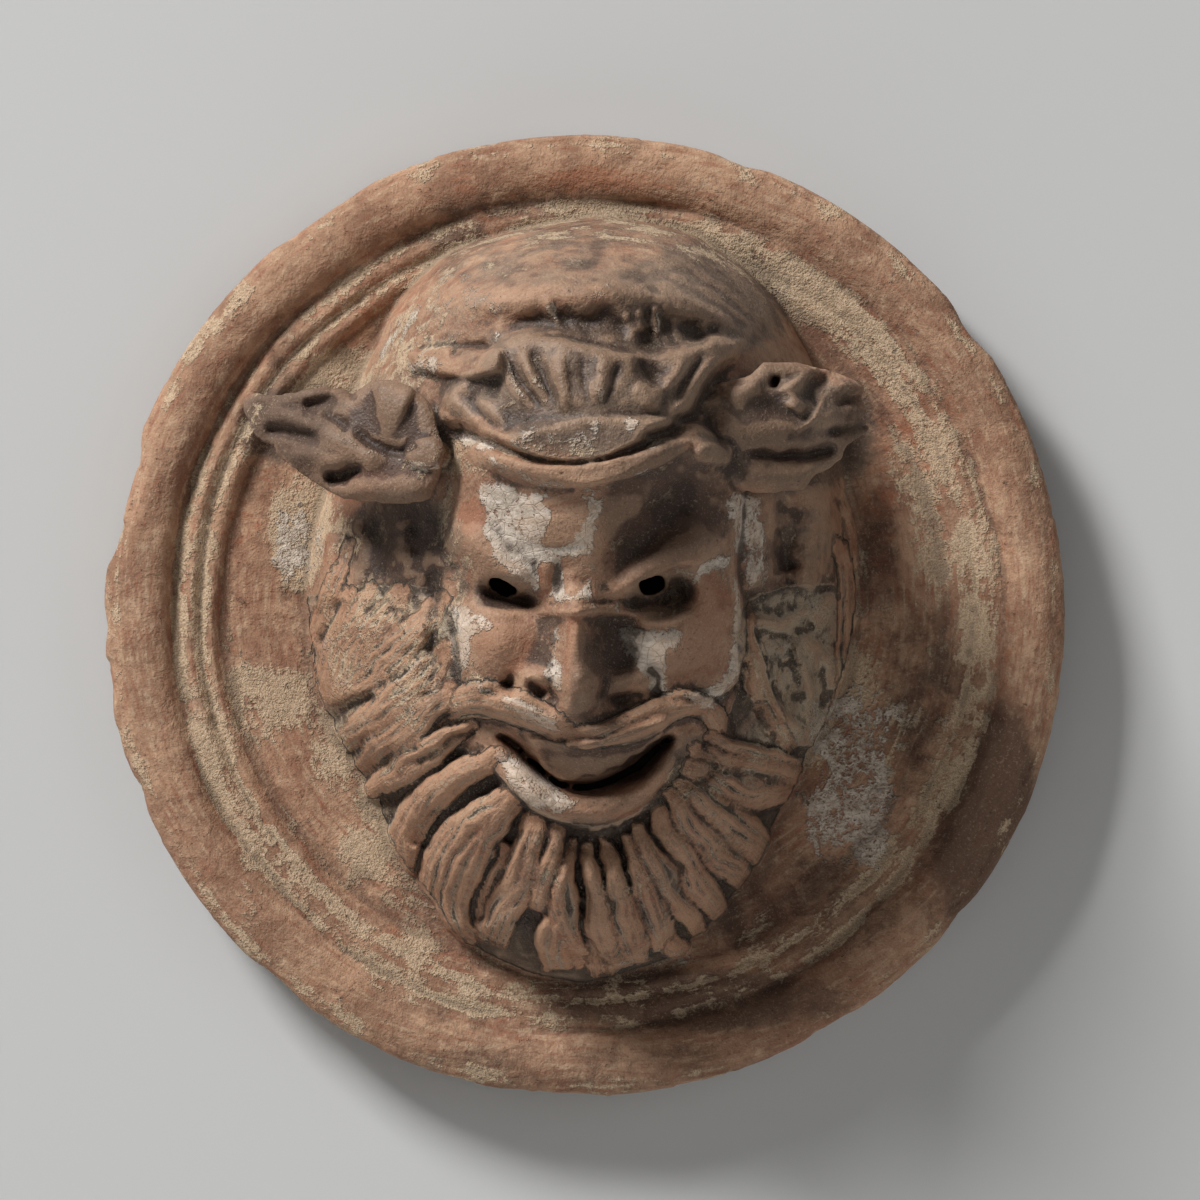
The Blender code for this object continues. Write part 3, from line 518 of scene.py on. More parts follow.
# The sides: on the left a deep shadowed recess under the leaf, on the right a lock of hair and a
# rounded ear with its hole.
RECESS = ((-96.5, 51.6), (-64.2, 53.6), (-55.9, 30.9), (-57.6, 6), (-76.6, -0.6), (-94.8, 6), (-99.8, 30.9))
head = plateau(head, RECESS, -8.0, 22)
for points, widths, rise in (
    (((-61.7, 22.6), (-61.7, -2.3), (-63.4, -31.3)), (3.7, 3.7, 3.3), -5.0),
    (((-104.4, 35.8), (-106.4, 18.4), (-112.2, 1)), (3.3, 4.1, 2.5), 6.0),
    (((-85.7, 43.3), (-84.9, 28.8), (-83.2, 14.3)), (3.3, 3.7, 2.9), -3.0),
    (((-94.8, 41.2), (-92.3, 26.7), (-94, 12.2)), (2.5, 3.3, 2.5), 3.0),
    (((-75, 41.2), (-75.8, 28.8), (-72.5, 14.3)), (2.9, 3.3, 2.5), 3.0),
    (((67.5, 52.4), (70.8, 30.9), (68.3, 7.7)), (6.2, 7, 5.8), 4.0),
    (((75, 52.4), (77.4, 35), (75.8, 14.3)), (2.1, 2.1, 1.7), 2.5),
    (((94, 57.4), (96.5, 40), (95.7, 24.2), (89.9, 8.5)), (5.4, 6.6, 6.6, 5), 8.0),
    (((103.1, 51.6), (106.4, 35), (103.1, 20.1), (95.7, 6)), (2.5, 2.9, 2.9, 2.5), -5.0),
    (((85.7, 47.4), (84.1, 28.8), (84.9, 9.3)), (5.4, 6.2, 5.4), -3.5),
    (((82.4, 36.6), (81.2, 26.7), (83.2, 16.8)), (3.3, 4.1, 3.3), -5.5),
    (((79.1, 47.4), (81.2, 44.9), (80.7, 41.6)), (1.7, 2.5, 1.7), -3.0),
    (((66.7, 0.2), (80.7, -3.1), (94, 3.5)), (2.1, 2.5, 2.1), 4.0),
    (((69.2, -7.2), (84.9, -8.1), (96.5, -3.1)), (2.5, 2.9, 2.5), -4.0),
    (((107.7, 47.4), (112.2, 30.9), (113.9, 6)), (2.1, 2.1, 2.1), 4.0),
):
    head = ridge(head, points, widths, rise)

# The hair: a smooth crown with faint pleats, rolled forward over the brow into a fan of thick
# strands, with pits and a crack behind the fan's edge. A headband lies under it.
FAN = (
    (-60, 80.5), (-58.4, 88), (-55.1, 93.8), (-47.6, 100.4), (-37.7, 109.5), (-26.9, 115.3),
    (-15.3, 116.6), (-4.1, 114.1), (7, 111.2), (19.5, 109.1), (29, 108.7), (43.5, 111.6),
    (54.2, 114.5), (65, 112.8), (63.4, 107.9), (55.9, 102.1), (49.3, 93), (45.1, 85.5),
    (31.9, 78.5), (18.6, 72.3), (6.2, 66.9), (-12.4, 64.8), (-29, 68.5), (-46, 76.4),
)
FAN_EDGE = (
    (-56.7, 76.4), (-43.5, 73.5), (-26.9, 66.9), (-12, 63.2), (6.2, 64.8), (22.8, 70.6), (43.5, 83),
    (52.6, 96.3), (65, 108.7),
)
head += 7 * np.exp(-((v - 70.2) / 14) ** 2) * step(-52, -38, u) * step(62, 46, u)
for points, widths, rise in (
    (((-60, 125.3), (-41, 130.2), (-18.6, 134.4), (6.2, 136), (31.1, 131.9), (53.8, 123.6),
     (70.8, 112.8)), (4.1, 5.4, 6.2, 6.2, 5.8, 5, 3.3), 6.0),
    (((-35.2, 121.1), (-18.6, 122), (2.1, 121.1), (22.8, 119.5), (43.5, 117.8), (58.4, 115.3)),
     (3.3, 4.1, 5.4, 7, 6.2, 3.3), -5.0),
    (((22.8, 117.8), (27.7, 109.5), (31.9, 97.9)), (3.7, 4.6, 2.9), -5.0),
    (((-15.3, 130.2), (-12.8, 124.4), (-10.4, 119.5)), (1.7, 1.7, 1.2), 2.6),
    (((17.8, 125.3), (19.5, 118.6), (22.8, 112)), (1.7, 2.1, 1.7), 2.6),
    (((23.6, 126.1), (22.8, 119.5), (26.1, 112.8)), (1.2, 1.7, 1.2), 2.6),
    (((30.2, 126.9), (29.4, 121.1), (28.6, 113.7)), (1.2, 1.7, 1.2), 2.6),
    (((37.7, 123.6), (37.7, 117), (41.8, 111.2)), (2.1, 2.5, 2.1), 2.5),
    (((47.6, 121.1), (49.3, 116.2), (54.2, 112)), (2.1, 2.5, 2.1), 2.5),
    (((-57.6, 108.7), (-48.4, 109.5), (-38.5, 110.4)), (2.5, 3.3, 2.5), -6.0),
    (((29, 140.6), (49.7, 131.1), (69.2, 117.8)), (1.2, 1.7, 1.2), -2.2),
    (((36, 143.5), (53.8, 134.4), (71.2, 121.1)), (1.2, 1.7, 1.2), -2.2),
    (((43.5, 146), (59.2, 136.9), (75, 122.8)), (1.2, 1.7, 1.2), -2.2),
    (((50.1, 147.6), (65, 137.7), (79.1, 123.6)), (1.2, 1.7, 1.2), -2.0),
    (((22.8, 136.9), (43.5, 127.7), (63.4, 117)), (1.2, 1.7, 1.2), -2.0),
    (((-79.1, 111.6), (-71.6, 122.8), (-64.2, 131.1)), (0.8, 1.2, 0.8), -2.0),
    (((-84.9, 109.5), (-76.6, 121.1), (-70, 128.6)), (0.8, 1.2, 0.8), -2.0),
    (((-75, 108.7), (-66.7, 119.9), (-58.4, 128.6)), (0.8, 1.2, 0.8), -2.0),
    (((-89.9, 105.4), (-81.6, 117.8), (-75.8, 125.3)), (0.8, 1.2, 0.8), -2.0),
    (((-69.2, 109.5), (-60.9, 119.5), (-53.4, 126.9)), (0.8, 1.2, 0.8), -1.6),
    (((-55.9, 135.2), (-26.9, 143.5), (6.2, 146)), (1.7, 2.1, 1.7), -1.4),
    (((-47.6, 143.5), (-18.6, 150.9), (14.5, 153.4)), (1.7, 2.1, 1.7), -1.4),
    (((-10.4, 136.4), (22.8, 140.2), (47.6, 142.7)), (1.7, 2.1, 1.7), -1.2),
):
    head = ridge(head, points, widths, rise, 2.0, 0.12, 1.4)
head = plateau(head, FAN, 11.0, 6.0, 90)
head = lump(head, (6.2, 88.8), (33.1, 18.2), 5.0)
for points, widths, rise in (
    (((-36.9, 113.7), (-34, 104.6), (-28.6, 93.8), (-20.3, 83.9)), (1.7, 2.5, 2.1, 1.7), 3.5),
    (((-31.9, 108.7), (-26.1, 96.3), (-16.6, 83.9)), (1, 1.2, 0.8), -3.5),
    (((-26.9, 111.6), (-21.1, 97.9), (-13.7, 84.7)), (1.7, 2.1, 1.7), 5.0),
    (((-22.8, 112.8), (-17, 97.9), (-13.7, 85.5)), (0.8, 2.1, 2.9), -3.0),
    (((-12, 111.6), (-9.5, 97.1), (-6.2, 83)), (3.3, 4.1, 2.9), 4.0),
    (((-7.9, 108.7), (-6.2, 96.3), (-5.4, 83.9)), (0.8, 1, 0.8), -2.0),
    (((-2.9, 108.7), (-0.4, 97.1), (2.9, 87.2)), (0.8, 1.2, 0.8), -2.0),
    (((15.3, 106.2), (11.2, 96.3), (7, 86.3)), (1.2, 1.4, 0.8), -2.5),
    (((7, 108.7), (6.2, 97.1), (5.4, 86.8)), (2.9, 3.7, 2.9), 3.5),
    (((21.1, 108.7), (26.1, 101.2), (32.7, 93.8)), (2.9, 4.1, 2.5), -7.0),
    (((21.1, 98.8), (25.3, 90.5), (32.7, 87.2)), (3.3, 4.6, 3.3), 4.0),
    (((57.6, 111.2), (49.3, 101.2), (42.7, 88.8), (34.4, 80.5)), (2.5, 2.9, 2.9, 2.5), 5.0),
    (((49.3, 111.2), (43.5, 100.4), (36, 88)), (1.2, 1.7, 1.2), -3.0),
    (((41.8, 109.5), (37.7, 100.4), (32.7, 92.1)), (2.1, 2.5, 1.7), 4.0),
    (((-57.6, 92.1), (-50.9, 85.5), (-43.5, 78.9)), (1.2, 1.7, 1.2), 4.0),
    (((-60.9, 88.8), (-55.1, 83), (-48.4, 76.4)), (1.2, 1.2, 1.2), -3.0),
    (((-52.6, 94.6), (-46, 87.2), (-37.7, 78.1)), (1.2, 1.7, 1.2), -3.0),
    (((-45.1, 92.1), (-39.3, 84.7), (-31.9, 76.4)), (1.7, 2.1, 1.7), 3.0),
    (((-24.8, 116.2), (-10.4, 114.9), (4.6, 112), (20.3, 108.7), (27.7, 102.9)),
     (0.8, 1.1, 1.1, 1.1, 0.8), -6.0),
):
    head = ridge(head, points, widths, 0.8 * rise, 2.0, 0.3, 0.9)
head = ridge(head, FAN_EDGE, (2.1, 2.1, 1.7, 2.1, 2.5, 2.9, 3.7, 4.1, 3.7), -6.0)
SIDE_TUFT = (
    (-73.3, 108.7), (-55.9, 110.8), (-35.2, 109.5), (-35.2, 100.4), (-48.4, 97.9), (-60, 99.6),
    (-70.8, 102.1),
)
head = plateau(head, SIDE_TUFT, 8.0, 3.0, 0)
SIDE_DENT = ((-49.3, 98.8), (-35.2, 100.4), (-35.2, 89.7), (-46.8, 88))
head = plateau(head, SIDE_DENT, -3.0, 3.0, 0)
whiskered = COMB.copy()
HEADBAND = (
    (-56.7, 71.4), (-44.3, 67.3), (-26.9, 60.7), (-2.1, 57.4), (19.5, 62.3), (39.3, 70.6),
    (47.6, 73.9),
)
head = lock(head, head - 2.0, HEADBAND, (4.1, 5.8, 6.2, 5.8, 5.8, 5, 3.3), 8.5, 1, 1.0, 1.0, 0.8)
LEFT_KNOB = ((-75.8, 66.9), (-71.6, 66.9), (-59.2, 66.9), (-55.1, 66.9))
head = lock(head, head - 3.0, LEFT_KNOB, (3.3, 6.6, 6.6, 3.3), 10.0, 1, 0.0)
RIGHT_KNOB = ((43.5, 65.6), (48.4, 66), (57.6, 65.6), (61.7, 65.6))
head = lock(head, head - 3.0, RIGHT_KNOB, (2.5, 5, 5, 2.5), 9.0, 1, 0.0)
COMB[:] = whiskered
hairy = np.maximum(step(-3, 4, inside(BEARD_AREA, 90)), step(59.8, 72.3, v))
uneven = on_paper(9.0, 0) + 0.6 * on_paper(4.0, 50)
coarse = np.zeros(u.shape)
for middle, half, strength in (
    ((-82.8, -2.3), (33.1, 29), 1.0), ((-76.6, 26.7), (24.8, 24.8), 0.9),
    ((-53.8, 22.6), (8.3, 29), 0.8), ((-66.3, -41.6), (24.8, 16.6), 0.7),
    ((-76.6, 113.7), (24.8, 20.7), 0.7), ((84.9, -2.3), (29, 49.7), 0.9),
    ((-47.6, 76.4), (16.6, 12.4), 0.6), ((72.5, 39.1), (16.6, 24.8), 0.5),
    ((-10.4, -109.9), (37.3, 29), 0.35),
):
    out = np.hypot((u - middle[0]) / half[0], (v - middle[1]) / half[1])
    coarse = np.maximum(coarse, strength * step(1.3, 0.6, out))
lumpy = on_paper(5.0, 9) + 0.7 * on_paper(2.6, 70)
head += uneven * (0.3 + 0.6 * hairy) + lumpy * coarse


# Two ivy leaves stand out from the temples, free of the disc at their tips. Each is a thick sheet of
# clay with lobes, pressed veins and curled edges: a height drawn over its own outline, and an
# underside a fixed thickness behind it.
LEFT_LEAF = (
    (-61.3, 78.9), (-62.5, 85.5), (-66.7, 90.9), (-73.3, 95.5), (-82.4, 98.3), (-90.7, 96.3),
    (-96.5, 91.7), (-99, 93.8), (-107.7, 95), (-118, 93), (-129.6, 91.3), (-137.1, 92.6),
    (-141.6, 90.1), (-142.5, 85.5), (-139.6, 80.5), (-137.1, 73.9), (-132.1, 71), (-128, 69.8),
    (-128.8, 66.5), (-118, 58.6), (-107.7, 51.6), (-99.4, 47.4), (-76.6, 45.3), (-64.2, 47.4),
    (-60, 56.5), (-57.6, 68.1),
)
RIGHT_LEAF = (
    (44.3, 83.9), (47.6, 90.5), (55.1, 96.3), (68.3, 99.6), (73.3, 104.6), (85.7, 105.4),
    (99.8, 102.1), (109.7, 98.8), (117.2, 93.8), (114.7, 90.5), (117.6, 83.9), (114.3, 80.5),
    (118.8, 77.2), (114.7, 73.9), (108.5, 69.8), (106.8, 64.8), (101.9, 60.3), (94.8, 57.4),
    (91.5, 51.6), (72.5, 49.9), (56.7, 52.8), (53.4, 61.5), (46, 64.8), (43.5, 76.4),
)

LEAF_THICKNESS = 6.0


def leaf_form(outline, middle, height, lean):
    """Where a leaf is, as inside gives it, and its top: a plane leaning with the given slopes, bowed
    down towards its edges by the square of the distance from its middle."""
    out = inside(outline, 0)
    x, y = u - middle[0], v - middle[1]
    top = height + lean[0] * x + lean[1] * y - 0.0035 * (x * x + y * y)
    top -= 2.5 * step(4, 0, out)
    return out, top


def bud(form, middle, half):
    """A small flattened ball pressed on, of the given half sizes, with a fine crack round it."""
    out = np.hypot((u - middle[0]) / half[0], (v - middle[1]) / half[1])
    return form + 4 * np.sqrt(np.clip(1 - out**4, 0, 1)) - 1.6 * np.exp(-((out - 1.04) / 0.07) ** 2)


left_out, left_top = leaf_form(LEFT_LEAF, (-78.7, 72.3), 117.0, (0.42, -0.06))
for points, widths, rise in (
    (((-108.9, 84.7), (-102.3, 79.7), (-97.3, 76.4)), (1.7, 2.1, 1.7), -4.5),
    (((-136.2, 87.2), (-118, 78.9), (-99.4, 69.8), (-80.7, 59.8)), (3.7, 6.2, 6.6, 5), 7.0),
    (((-133.8, 75.6), (-121.3, 75.6), (-108.9, 72.3)), (2.5, 2.9, 2.1), -8.0),
    (((-124.6, 67.3), (-113, 65.6), (-97.3, 60.7)), (3.3, 4.1, 2.5), 5.0),
    (((-108.9, 55.7), (-101.5, 58.2), (-91.5, 60.7)), (2.5, 3.3, 1.7), -9.0),
    (((-99.4, 50.7), (-80.7, 54), (-64.2, 51.6)), (3.7, 5.4, 3.7), 4.0),
    (((-96.5, 77.2), (-86.5, 69.8), (-76.6, 67.3), (-66.7, 72.3)), (1.7, 2.1, 2.1, 1.7), -4.5),
    (((-88.2, 87.2), (-79.9, 88), (-71.6, 85.5)), (10.8, 12.4, 9.1), 5.0),
    (((-118, 87.2), (-108.9, 87.2), (-101.5, 90.5)), (2.9, 3.3, 2.1), -5.0),
    (((-140.4, 88.8), (-126.3, 90.5), (-105.6, 93)), (2.1, 2.5, 2.1), 4.0),
    (((-107.3, 95), (-97.3, 93), (-94.8, 88)), (1.7, 1.7, 1.2), -3.0),
):
    left_top = ridge(left_top, points, widths, 0.85 * rise, 2.0, 0.2, 0.8)
left_top = bud(left_top, (-64.2, 66.9), (10.8, 7))
right_out, right_top = leaf_form(RIGHT_LEAF, (74.5, 76.4), 116.0, (-0.42, 0.0))
for points, widths, rise in (
    (((47.6, 80.5), (68.3, 75.6), (89, 78.1), (109.7, 85.5)), (7.5, 8.3, 5.8, 3.7), 6.0),
    (((64.2, 67.3), (84.9, 66.5), (107.3, 68.9)), (1.2, 2.1, 3.3), -7.0),
    (((84.9, 98.8), (88.2, 92.1), (85.7, 83)), (6.2, 6.2, 3.3), 8.0),
    (((79.1, 99.6), (78.7, 93.8)), (1.7, 1.4), -12.0),
    (((99, 92.1), (95.2, 81.4), (86.5, 74.7)), (0.8, 1.2, 0.8), 3.0),
    (((89.9, 87.2), (94.8, 96.3), (103.1, 98.8)), (3.3, 3.7, 2.5), -7.0),
    (((103.9, 95.5), (109.7, 95.5), (116.4, 93)), (2.5, 2.9, 2.1), 4.0),
    (((103.1, 88), (110.6, 89.7), (117.2, 87.2)), (1.7, 2.1, 1.7), -5.0),
    (((99.8, 74.7), (109.7, 77.2), (118, 78.9)), (1.2, 2.1, 2.1), -6.0),
    (((59.2, 87.2), (66.3, 93), (74.1, 96.3)), (5, 5.8, 4.1), 4.0),
    (((64.2, 59.8), (84.9, 57.4), (100.6, 61.5)), (3.7, 5, 2.9), 4.0),
    (((47.6, 88.8), (56.7, 93.8), (68.3, 97.9)), (2.1, 2.1, 1.7), -3.0),
):
    right_top = ridge(right_top, points, widths, 0.85 * rise, 2.0, 0.2, 0.8)
right_top = bud(right_top, (51.8, 67.3), (9.9, 6.6))


def relief_block(top, under, keep):
    """A closed block over the kept cells of the sheet: the top, the underside turned over, and a
    wall wherever a kept cell has none beside it. Returns sheet points and quads."""
    number = np.arange(top.size).reshape(top.shape)
    corners = np.stack([number[:-1, :-1], number[:-1, 1:], number[1:, 1:], number[1:, :-1]], axis=-1)
    cells = keep[:-1, :-1] & keep[:-1, 1:] & keep[1:, 1:] & keep[1:, :-1]
    around = np.pad(cells, 1)
    quads = [corners[cells], corners[cells][:, ::-1] + top.size]
    beyond = (around[:-2, 1:-1], around[1:-1, 2:], around[2:, 1:-1], around[1:-1, :-2])
    for side, other in enumerate(beyond):
        open_cells = corners[cells & ~other]
        p, q = open_cells[:, side], open_cells[:, (side + 1) % 4]
        quads.append(np.stack([p + top.size, q + top.size, q, p], axis=1))
    spots = np.concatenate([np.stack([u, v, side], -1).reshape(-1, 3) for side in (top, under)])
    return spots, np.concatenate(quads)


# The clay as one body. The blocks overlap, so they are fused on a fine cubic grid, roughened with
# hashed noise as worn and sandy clay is, and thinned to under two hundred thousand triangles.
GRID = 0.00095
TRIANGLES = 196000


def filled_mesh(name, spots, faces):
    """A mesh from an array of points and an array of faces."""
    mesh = bpy.data.meshes.new(name)
    mesh.from_pydata(spots.tolist(), [], faces.tolist())
    return mesh


def changed(mesh, kind, weights=None, **settings):
    """The mesh after one modifier, and its points as an array. Weights, if given, say how freely the
    modifier may work at each point, from 0 to 1 in steps of a tenth."""
    carrier = bpy.data.objects.new("carrier", mesh)
    bpy.context.scene.collection.objects.link(carrier)
    if weights is not None:
        group = carrier.vertex_groups.new(name="freedom")
        for tenth in range(1, 11):
            group.add(np.flatnonzero(np.round(weights * 10) == tenth).tolist(), tenth / 10, "REPLACE")
    change = carrier.modifiers.new(kind, kind)
    for key, value in settings.items():
        setattr(change, key, value)
    bpy.context.view_layer.update()
    depsgraph = bpy.context.evaluated_depsgraph_get()
    result = bpy.data.meshes.new_from_object(carrier.evaluated_get(depsgraph))
    bpy.data.objects.remove(carrier)
    bpy.data.meshes.remove(mesh)
    return result, read_points(result)


def read_points(mesh):
    """The mesh's points as an array of rows."""
    points = np.empty(len(mesh.vertices) * 3, np.float32)
    mesh.vertices.foreach_get("co", points)
    return points.reshape(-1, 3).astype(float)


def read_normals(mesh):
    """The direction that each point of the mesh faces."""
    normals = np.empty(len(mesh.vertices) * 3, np.float32)
    mesh.vertex_normals.foreach_get("vector", normals)
    return normals.reshape(-1, 3).astype(float)


def spread(mesh, values, rounds):
    """Each point's values replaced, a number of times over, by the mean of its own and its
    neighbours' mean."""
    ends = np.empty(len(mesh.edges) * 2, np.int32)
    mesh.edges.foreach_get("vertices", ends)
    a, b = ends.reshape(-1, 2).T
    here, there = np.concatenate([a, b]), np.concatenate([b, a])
    count = np.maximum(np.bincount(here, minlength=len(values)), 1)
    values = values.copy()
    for _ in range(rounds):
        sums = [np.bincount(here, column[there], minlength=len(values)) for column in values.T]
        values = (values + np.stack(sums, axis=1) / count[:, None]) / 2
    return values


hollow_reach = eased(*zip(*HOLE_REACH), np.degrees(np.arctan2(v, u)))
in_hollow = hollow_reach - np.hypot(u, v)
smooth_head = head_form(u, v)
inner = head_form(u, v, 13.0) + FIELD - 2.0
along, side, _ = beside(MOUTH_GAP, MOUTH_WIDTHS, 0.8)
mouth_open = (np.abs(side) < 0.28) & (along > 0.12) & (along < 0.97) & (inside(LIP_SLAB) < 0)
solid = (smooth_head > -7) & ~mouth_open & (inside(LEFT_PUPIL) < 0) & (inside(RIGHT_PUPIL) < 0)
head = np.where(inside(LIP_SLAB) < 0, ridge(head, MOUTH_GAP, MOUTH_WIDTHS, -17.0, 2.0, 0.06), head)
head_top = np.maximum(FIELD + head, 6)
head_under = np.where(in_hollow > 0, np.maximum(np.minimum(inner, head_top - 8), 1.5), 4)
head_under = np.minimum(head_under, head_top - 1)
blocks = [
    thrown_disc(),
    relief_block(head_top, head_under, solid),
    relief_block(left_top, left_top - LEAF_THICKNESS, left_out > 0),
    relief_block(right_top, right_top - LEAF_THICKNESS, right_out > 0),
]
spots, quads, start = [], [], 0
for block_spots, block_quads in blocks:
    spots.append(block_spots)
    quads.append(block_quads + start)
    start += len(block_spots)
disc_size = len(spots[0])
spots = np.concatenate(spots)
flat = spots[:disc_size]
placed = to_space(spots)
placed[:disc_size] = np.stack([flat[:, 0], -flat[:, 2], flat[:, 1]], axis=1) / 1000 + (0, 0, DISC_MIDDLE)
whole = filled_mesh("clay", placed, np.concatenate(quads))
mesh, points = changed(whole, "REMESH", mode="VOXEL", voxel_size=GRID)
points = spread(mesh, points, 1)
mesh.vertices.foreach_set("co", points.astype(np.float32).ravel())
mesh.update()
normals = read_normals(mesh)


def on_sheet(points):
    """Where points of the part lie on the drawing sheet, in millimetres, and their height."""
    height = -points[:, 1]
    share = CAMERA_REACH / (CAMERA_REACH + FACE_PLANE - height)
    x = CAMERA_AIM[0] + (points[:, 0] - CAMERA_AIM[0]) * share
    y = CAMERA_AIM[1] + (points[:, 2] - DISC_MIDDLE - CAMERA_AIM[1]) * share
    return x * 1000, y * 1000, height * 1000


def patches(x, y, spots):
    """The strongest of a few soft oval patches, each with a middle, half sizes and a strength."""
    total = np.zeros(x.shape)
    for middle, half, strength in spots:
        out = np.hypot((x - middle[0]) / half[0], (y - middle[1]) / half[1])
        total = np.maximum(total, strength * step(1.35, 0.65, out))
    return total


def sandiness(points):
    """How sandy the surface is, from 0 to 1: full in the rim's grooves and small ridges, more at the
    upper right and lower left, and some in the beard's ground."""
    x, y, height = on_sheet(points)
    radius = np.hypot(x, y)
    turn = np.degrees(np.arctan2(y, x))
    ring = step(150, 158, radius) * step(174, 169, radius)
    lip = step(189, 193, radius)
    side = 0.55 + 0.45 * np.cos(np.radians(turn - 30)) ** 2
    field = patches(x, y, (
        ((-118, 35), (14.5, 24.8), 0.8), ((-132.1, -37.1), (19, 17.4), 0.8),
        ((-105.6, -58.2), (9.9, 20.7), 0.7), ((-89.9, -91.3), (11.6, 18.2), 0.7),
        ((-128.4, -109.9), (18.2, 24.8), 0.55), ((-76.6, -145.1), (18.2, 14.9), 0.6),
        ((147, 59.8), (20.7, 45.6), 0.5), ((109.7, -43.7), (24.8, 33.1), 0.6),
        ((-76.6, -114.1), (8.3, 8.3), 0.5), ((-105.6, 97.1), (24.8, 16.6), 0.5),
        ((-55.9, 146.8), (24.8, 12.4), 0.35), ((-10.4, -159.6), (24.8, 8.3), 0.5),
    ))
    mask = patches(x, y, (
        ((-87, -14.7), (33.1, 33.1), 0.62), ((-60, -35.4), (24.8, 14.9), 0.5),
        ((-101.5, 22.6), (12.4, 20.7), 0.5), ((89, -23), (24.8, 37.3), 0.75),
        ((2.1, -109.9), (24.8, 20.7), 0.36), ((-76.6, 117.8), (24.8, 24.8), 0.6),
        ((-43.5, 66), (24.8, 8.3), 0.55), ((-55.9, 22.6), (9.9, 24.8), 0.4),
        ((-18.6, 68.1), (29, 5.8), 0.6), ((-64.2, -76.8), (24.8, 33.1), 0.34),
        ((55.9, -76.8), (33.1, 29), 0.3), ((-43.5, 150.9), (37.3, 20.7), 0.34),
    ))
    ground = np.where(height < 40, field, mask)
    return np.clip(np.maximum.reduce([ring * side * 0.85, lip * 0.6, ground]), 0, 1)


sand = sandiness(points)
rough = 0.30 * noise(points, 0.021) + 0.22 * noise(points, 0.009) + 0.13 * noise(points, 0.0042)
grit = np.maximum(noise(points, 0.0032), 0) ** 1.5 - 0.9 * np.maximum(noise(points + 7, 0.0045) - 0.35, 0)
grit_share = 0.12 + 0.95 * sand * (0.5 + 0.5 * noise(points, 0.02))
around = np.hypot(points[:, 0], points[:, 2] - DISC_MIDDLE)
nicks = np.maximum(noise(points + 11, 0.007) - 0.35, 0) * 2.2
nicks = nicks + np.maximum(noise(points + 13, 0.0035) - 0.4, 0) * 1.1
nicked = nicks * 0.001 * step(0.192, 0.198, around) / around
points[:, [0, 2]] -= (points[:, [0, 2]] - (0, DISC_MIDDLE)) * nicked[:, None]
front = step(-0.2, 0.4, -normals[:, 1]) * step(-0.004, 0.001, -points[:, 1] - 0.004)
points += normals * ((rough + 0.9 * grit * grit_share) * 0.001 * (0.35 + 0.65 * front))[:, None]
mesh.vertices.foreach_set("co", points.astype(np.float32).ravel())
mesh.update()
faces = len(mesh.polygons) * 2
x, y, height = on_sheet(points)
freedom = np.where((np.hypot(x / 122, (y - 8) / 158) < 1) & (height > 17), 0.4, 1.0)
clay_mesh, points = changed(
    mesh, "DECIMATE", freedom,
    ratio=min(1.0, TRIANGLES / faces), vertex_group="freedom", vertex_group_factor=2e-5)
low = np.array(cad_low) + 0.0001
high = np.array(cad_high) - 0.0001
points = np.clip(points, low, high)
points[:, 1] = np.where(points[:, 1] > -0.0006, high[1], points[:, 1])
clay_mesh.vertices.foreach_set("co", points.astype(np.float32).ravel())
clay_mesh.polygons.foreach_set("use_smooth", np.ones(len(clay_mesh.polygons), bool))
clay_mesh.update()
roundel = bpy.data.objects.new("roundel_clay", clay_mesh)
bpy.context.scene.collection.objects.link(roundel)
clay_mesh.name = "roundel_clay"
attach(roundel, "root")
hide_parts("roundel")


# What lies on the clay. Cream slip survives in patches, smoke and dirt have greyed the hair and the leaves,
# sand from burial sits in every groove, and the clay shows through orange where it is rubbed. Painted shade
# is laid on too: dark patches where the relief is shaded or in a cast shadow, darker clay in hollows,
# between locks and strands and in small pits, and on the faces turned to the back. Each deposit and each
# painted shade is stored on the mesh as a soft share from 0 to 1, which the finish breaks up finer.
SLIP = (
    ((-47.6, -14.7), (10.8, 19), 0.4), ((70.4, 39.1), (9.1, 19), 0.6), ((84.9, -14.7), (6.6, 9.1), 0.6),
    ((-16.6, 72.3), (24.8, 7.5), 0.6), ((-78.7, -31.3), (24.8, 14.1), 0.55),
    ((109.7, -72.7), (24.8, 37.3), 0.62), ((120.1, -43.7), (16.6, 24.8), 0.6),
    ((-118.8, 30.9), (12.4, 23.2), 0.62), ((22.8, -143.9), (14.1, 5.8), 0.6),
    ((-65, 61.5), (7.5, 2.9), 0.8), ((2.1, 3.9), (24.8, 5), 0.5), ((-47.6, 130.2), (16.6, 16.6), 0.5),
    ((97.3, -47.8), (8.3, 8.3), 0.7), ((94, 1.9), (5.8, 12.4), 0.55),
    ((55.9, -45.8), (5.8, 16.6), 0.45), ((-97.3, -10.6), (16.6, 24.8), 0.5),
    ((-55.9, 80.5), (12.4, 9.9), 0.5), ((-64.2, 117.8), (16.6, 12.4), 0.5),
    ((-10.4, -101.7), (37.3, 24.8), 0.35), ((64.2, -76.8), (24.8, 16.6), 0.4),
    ((-68.3, -93.4), (16.6, 24.8), 0.4),
)
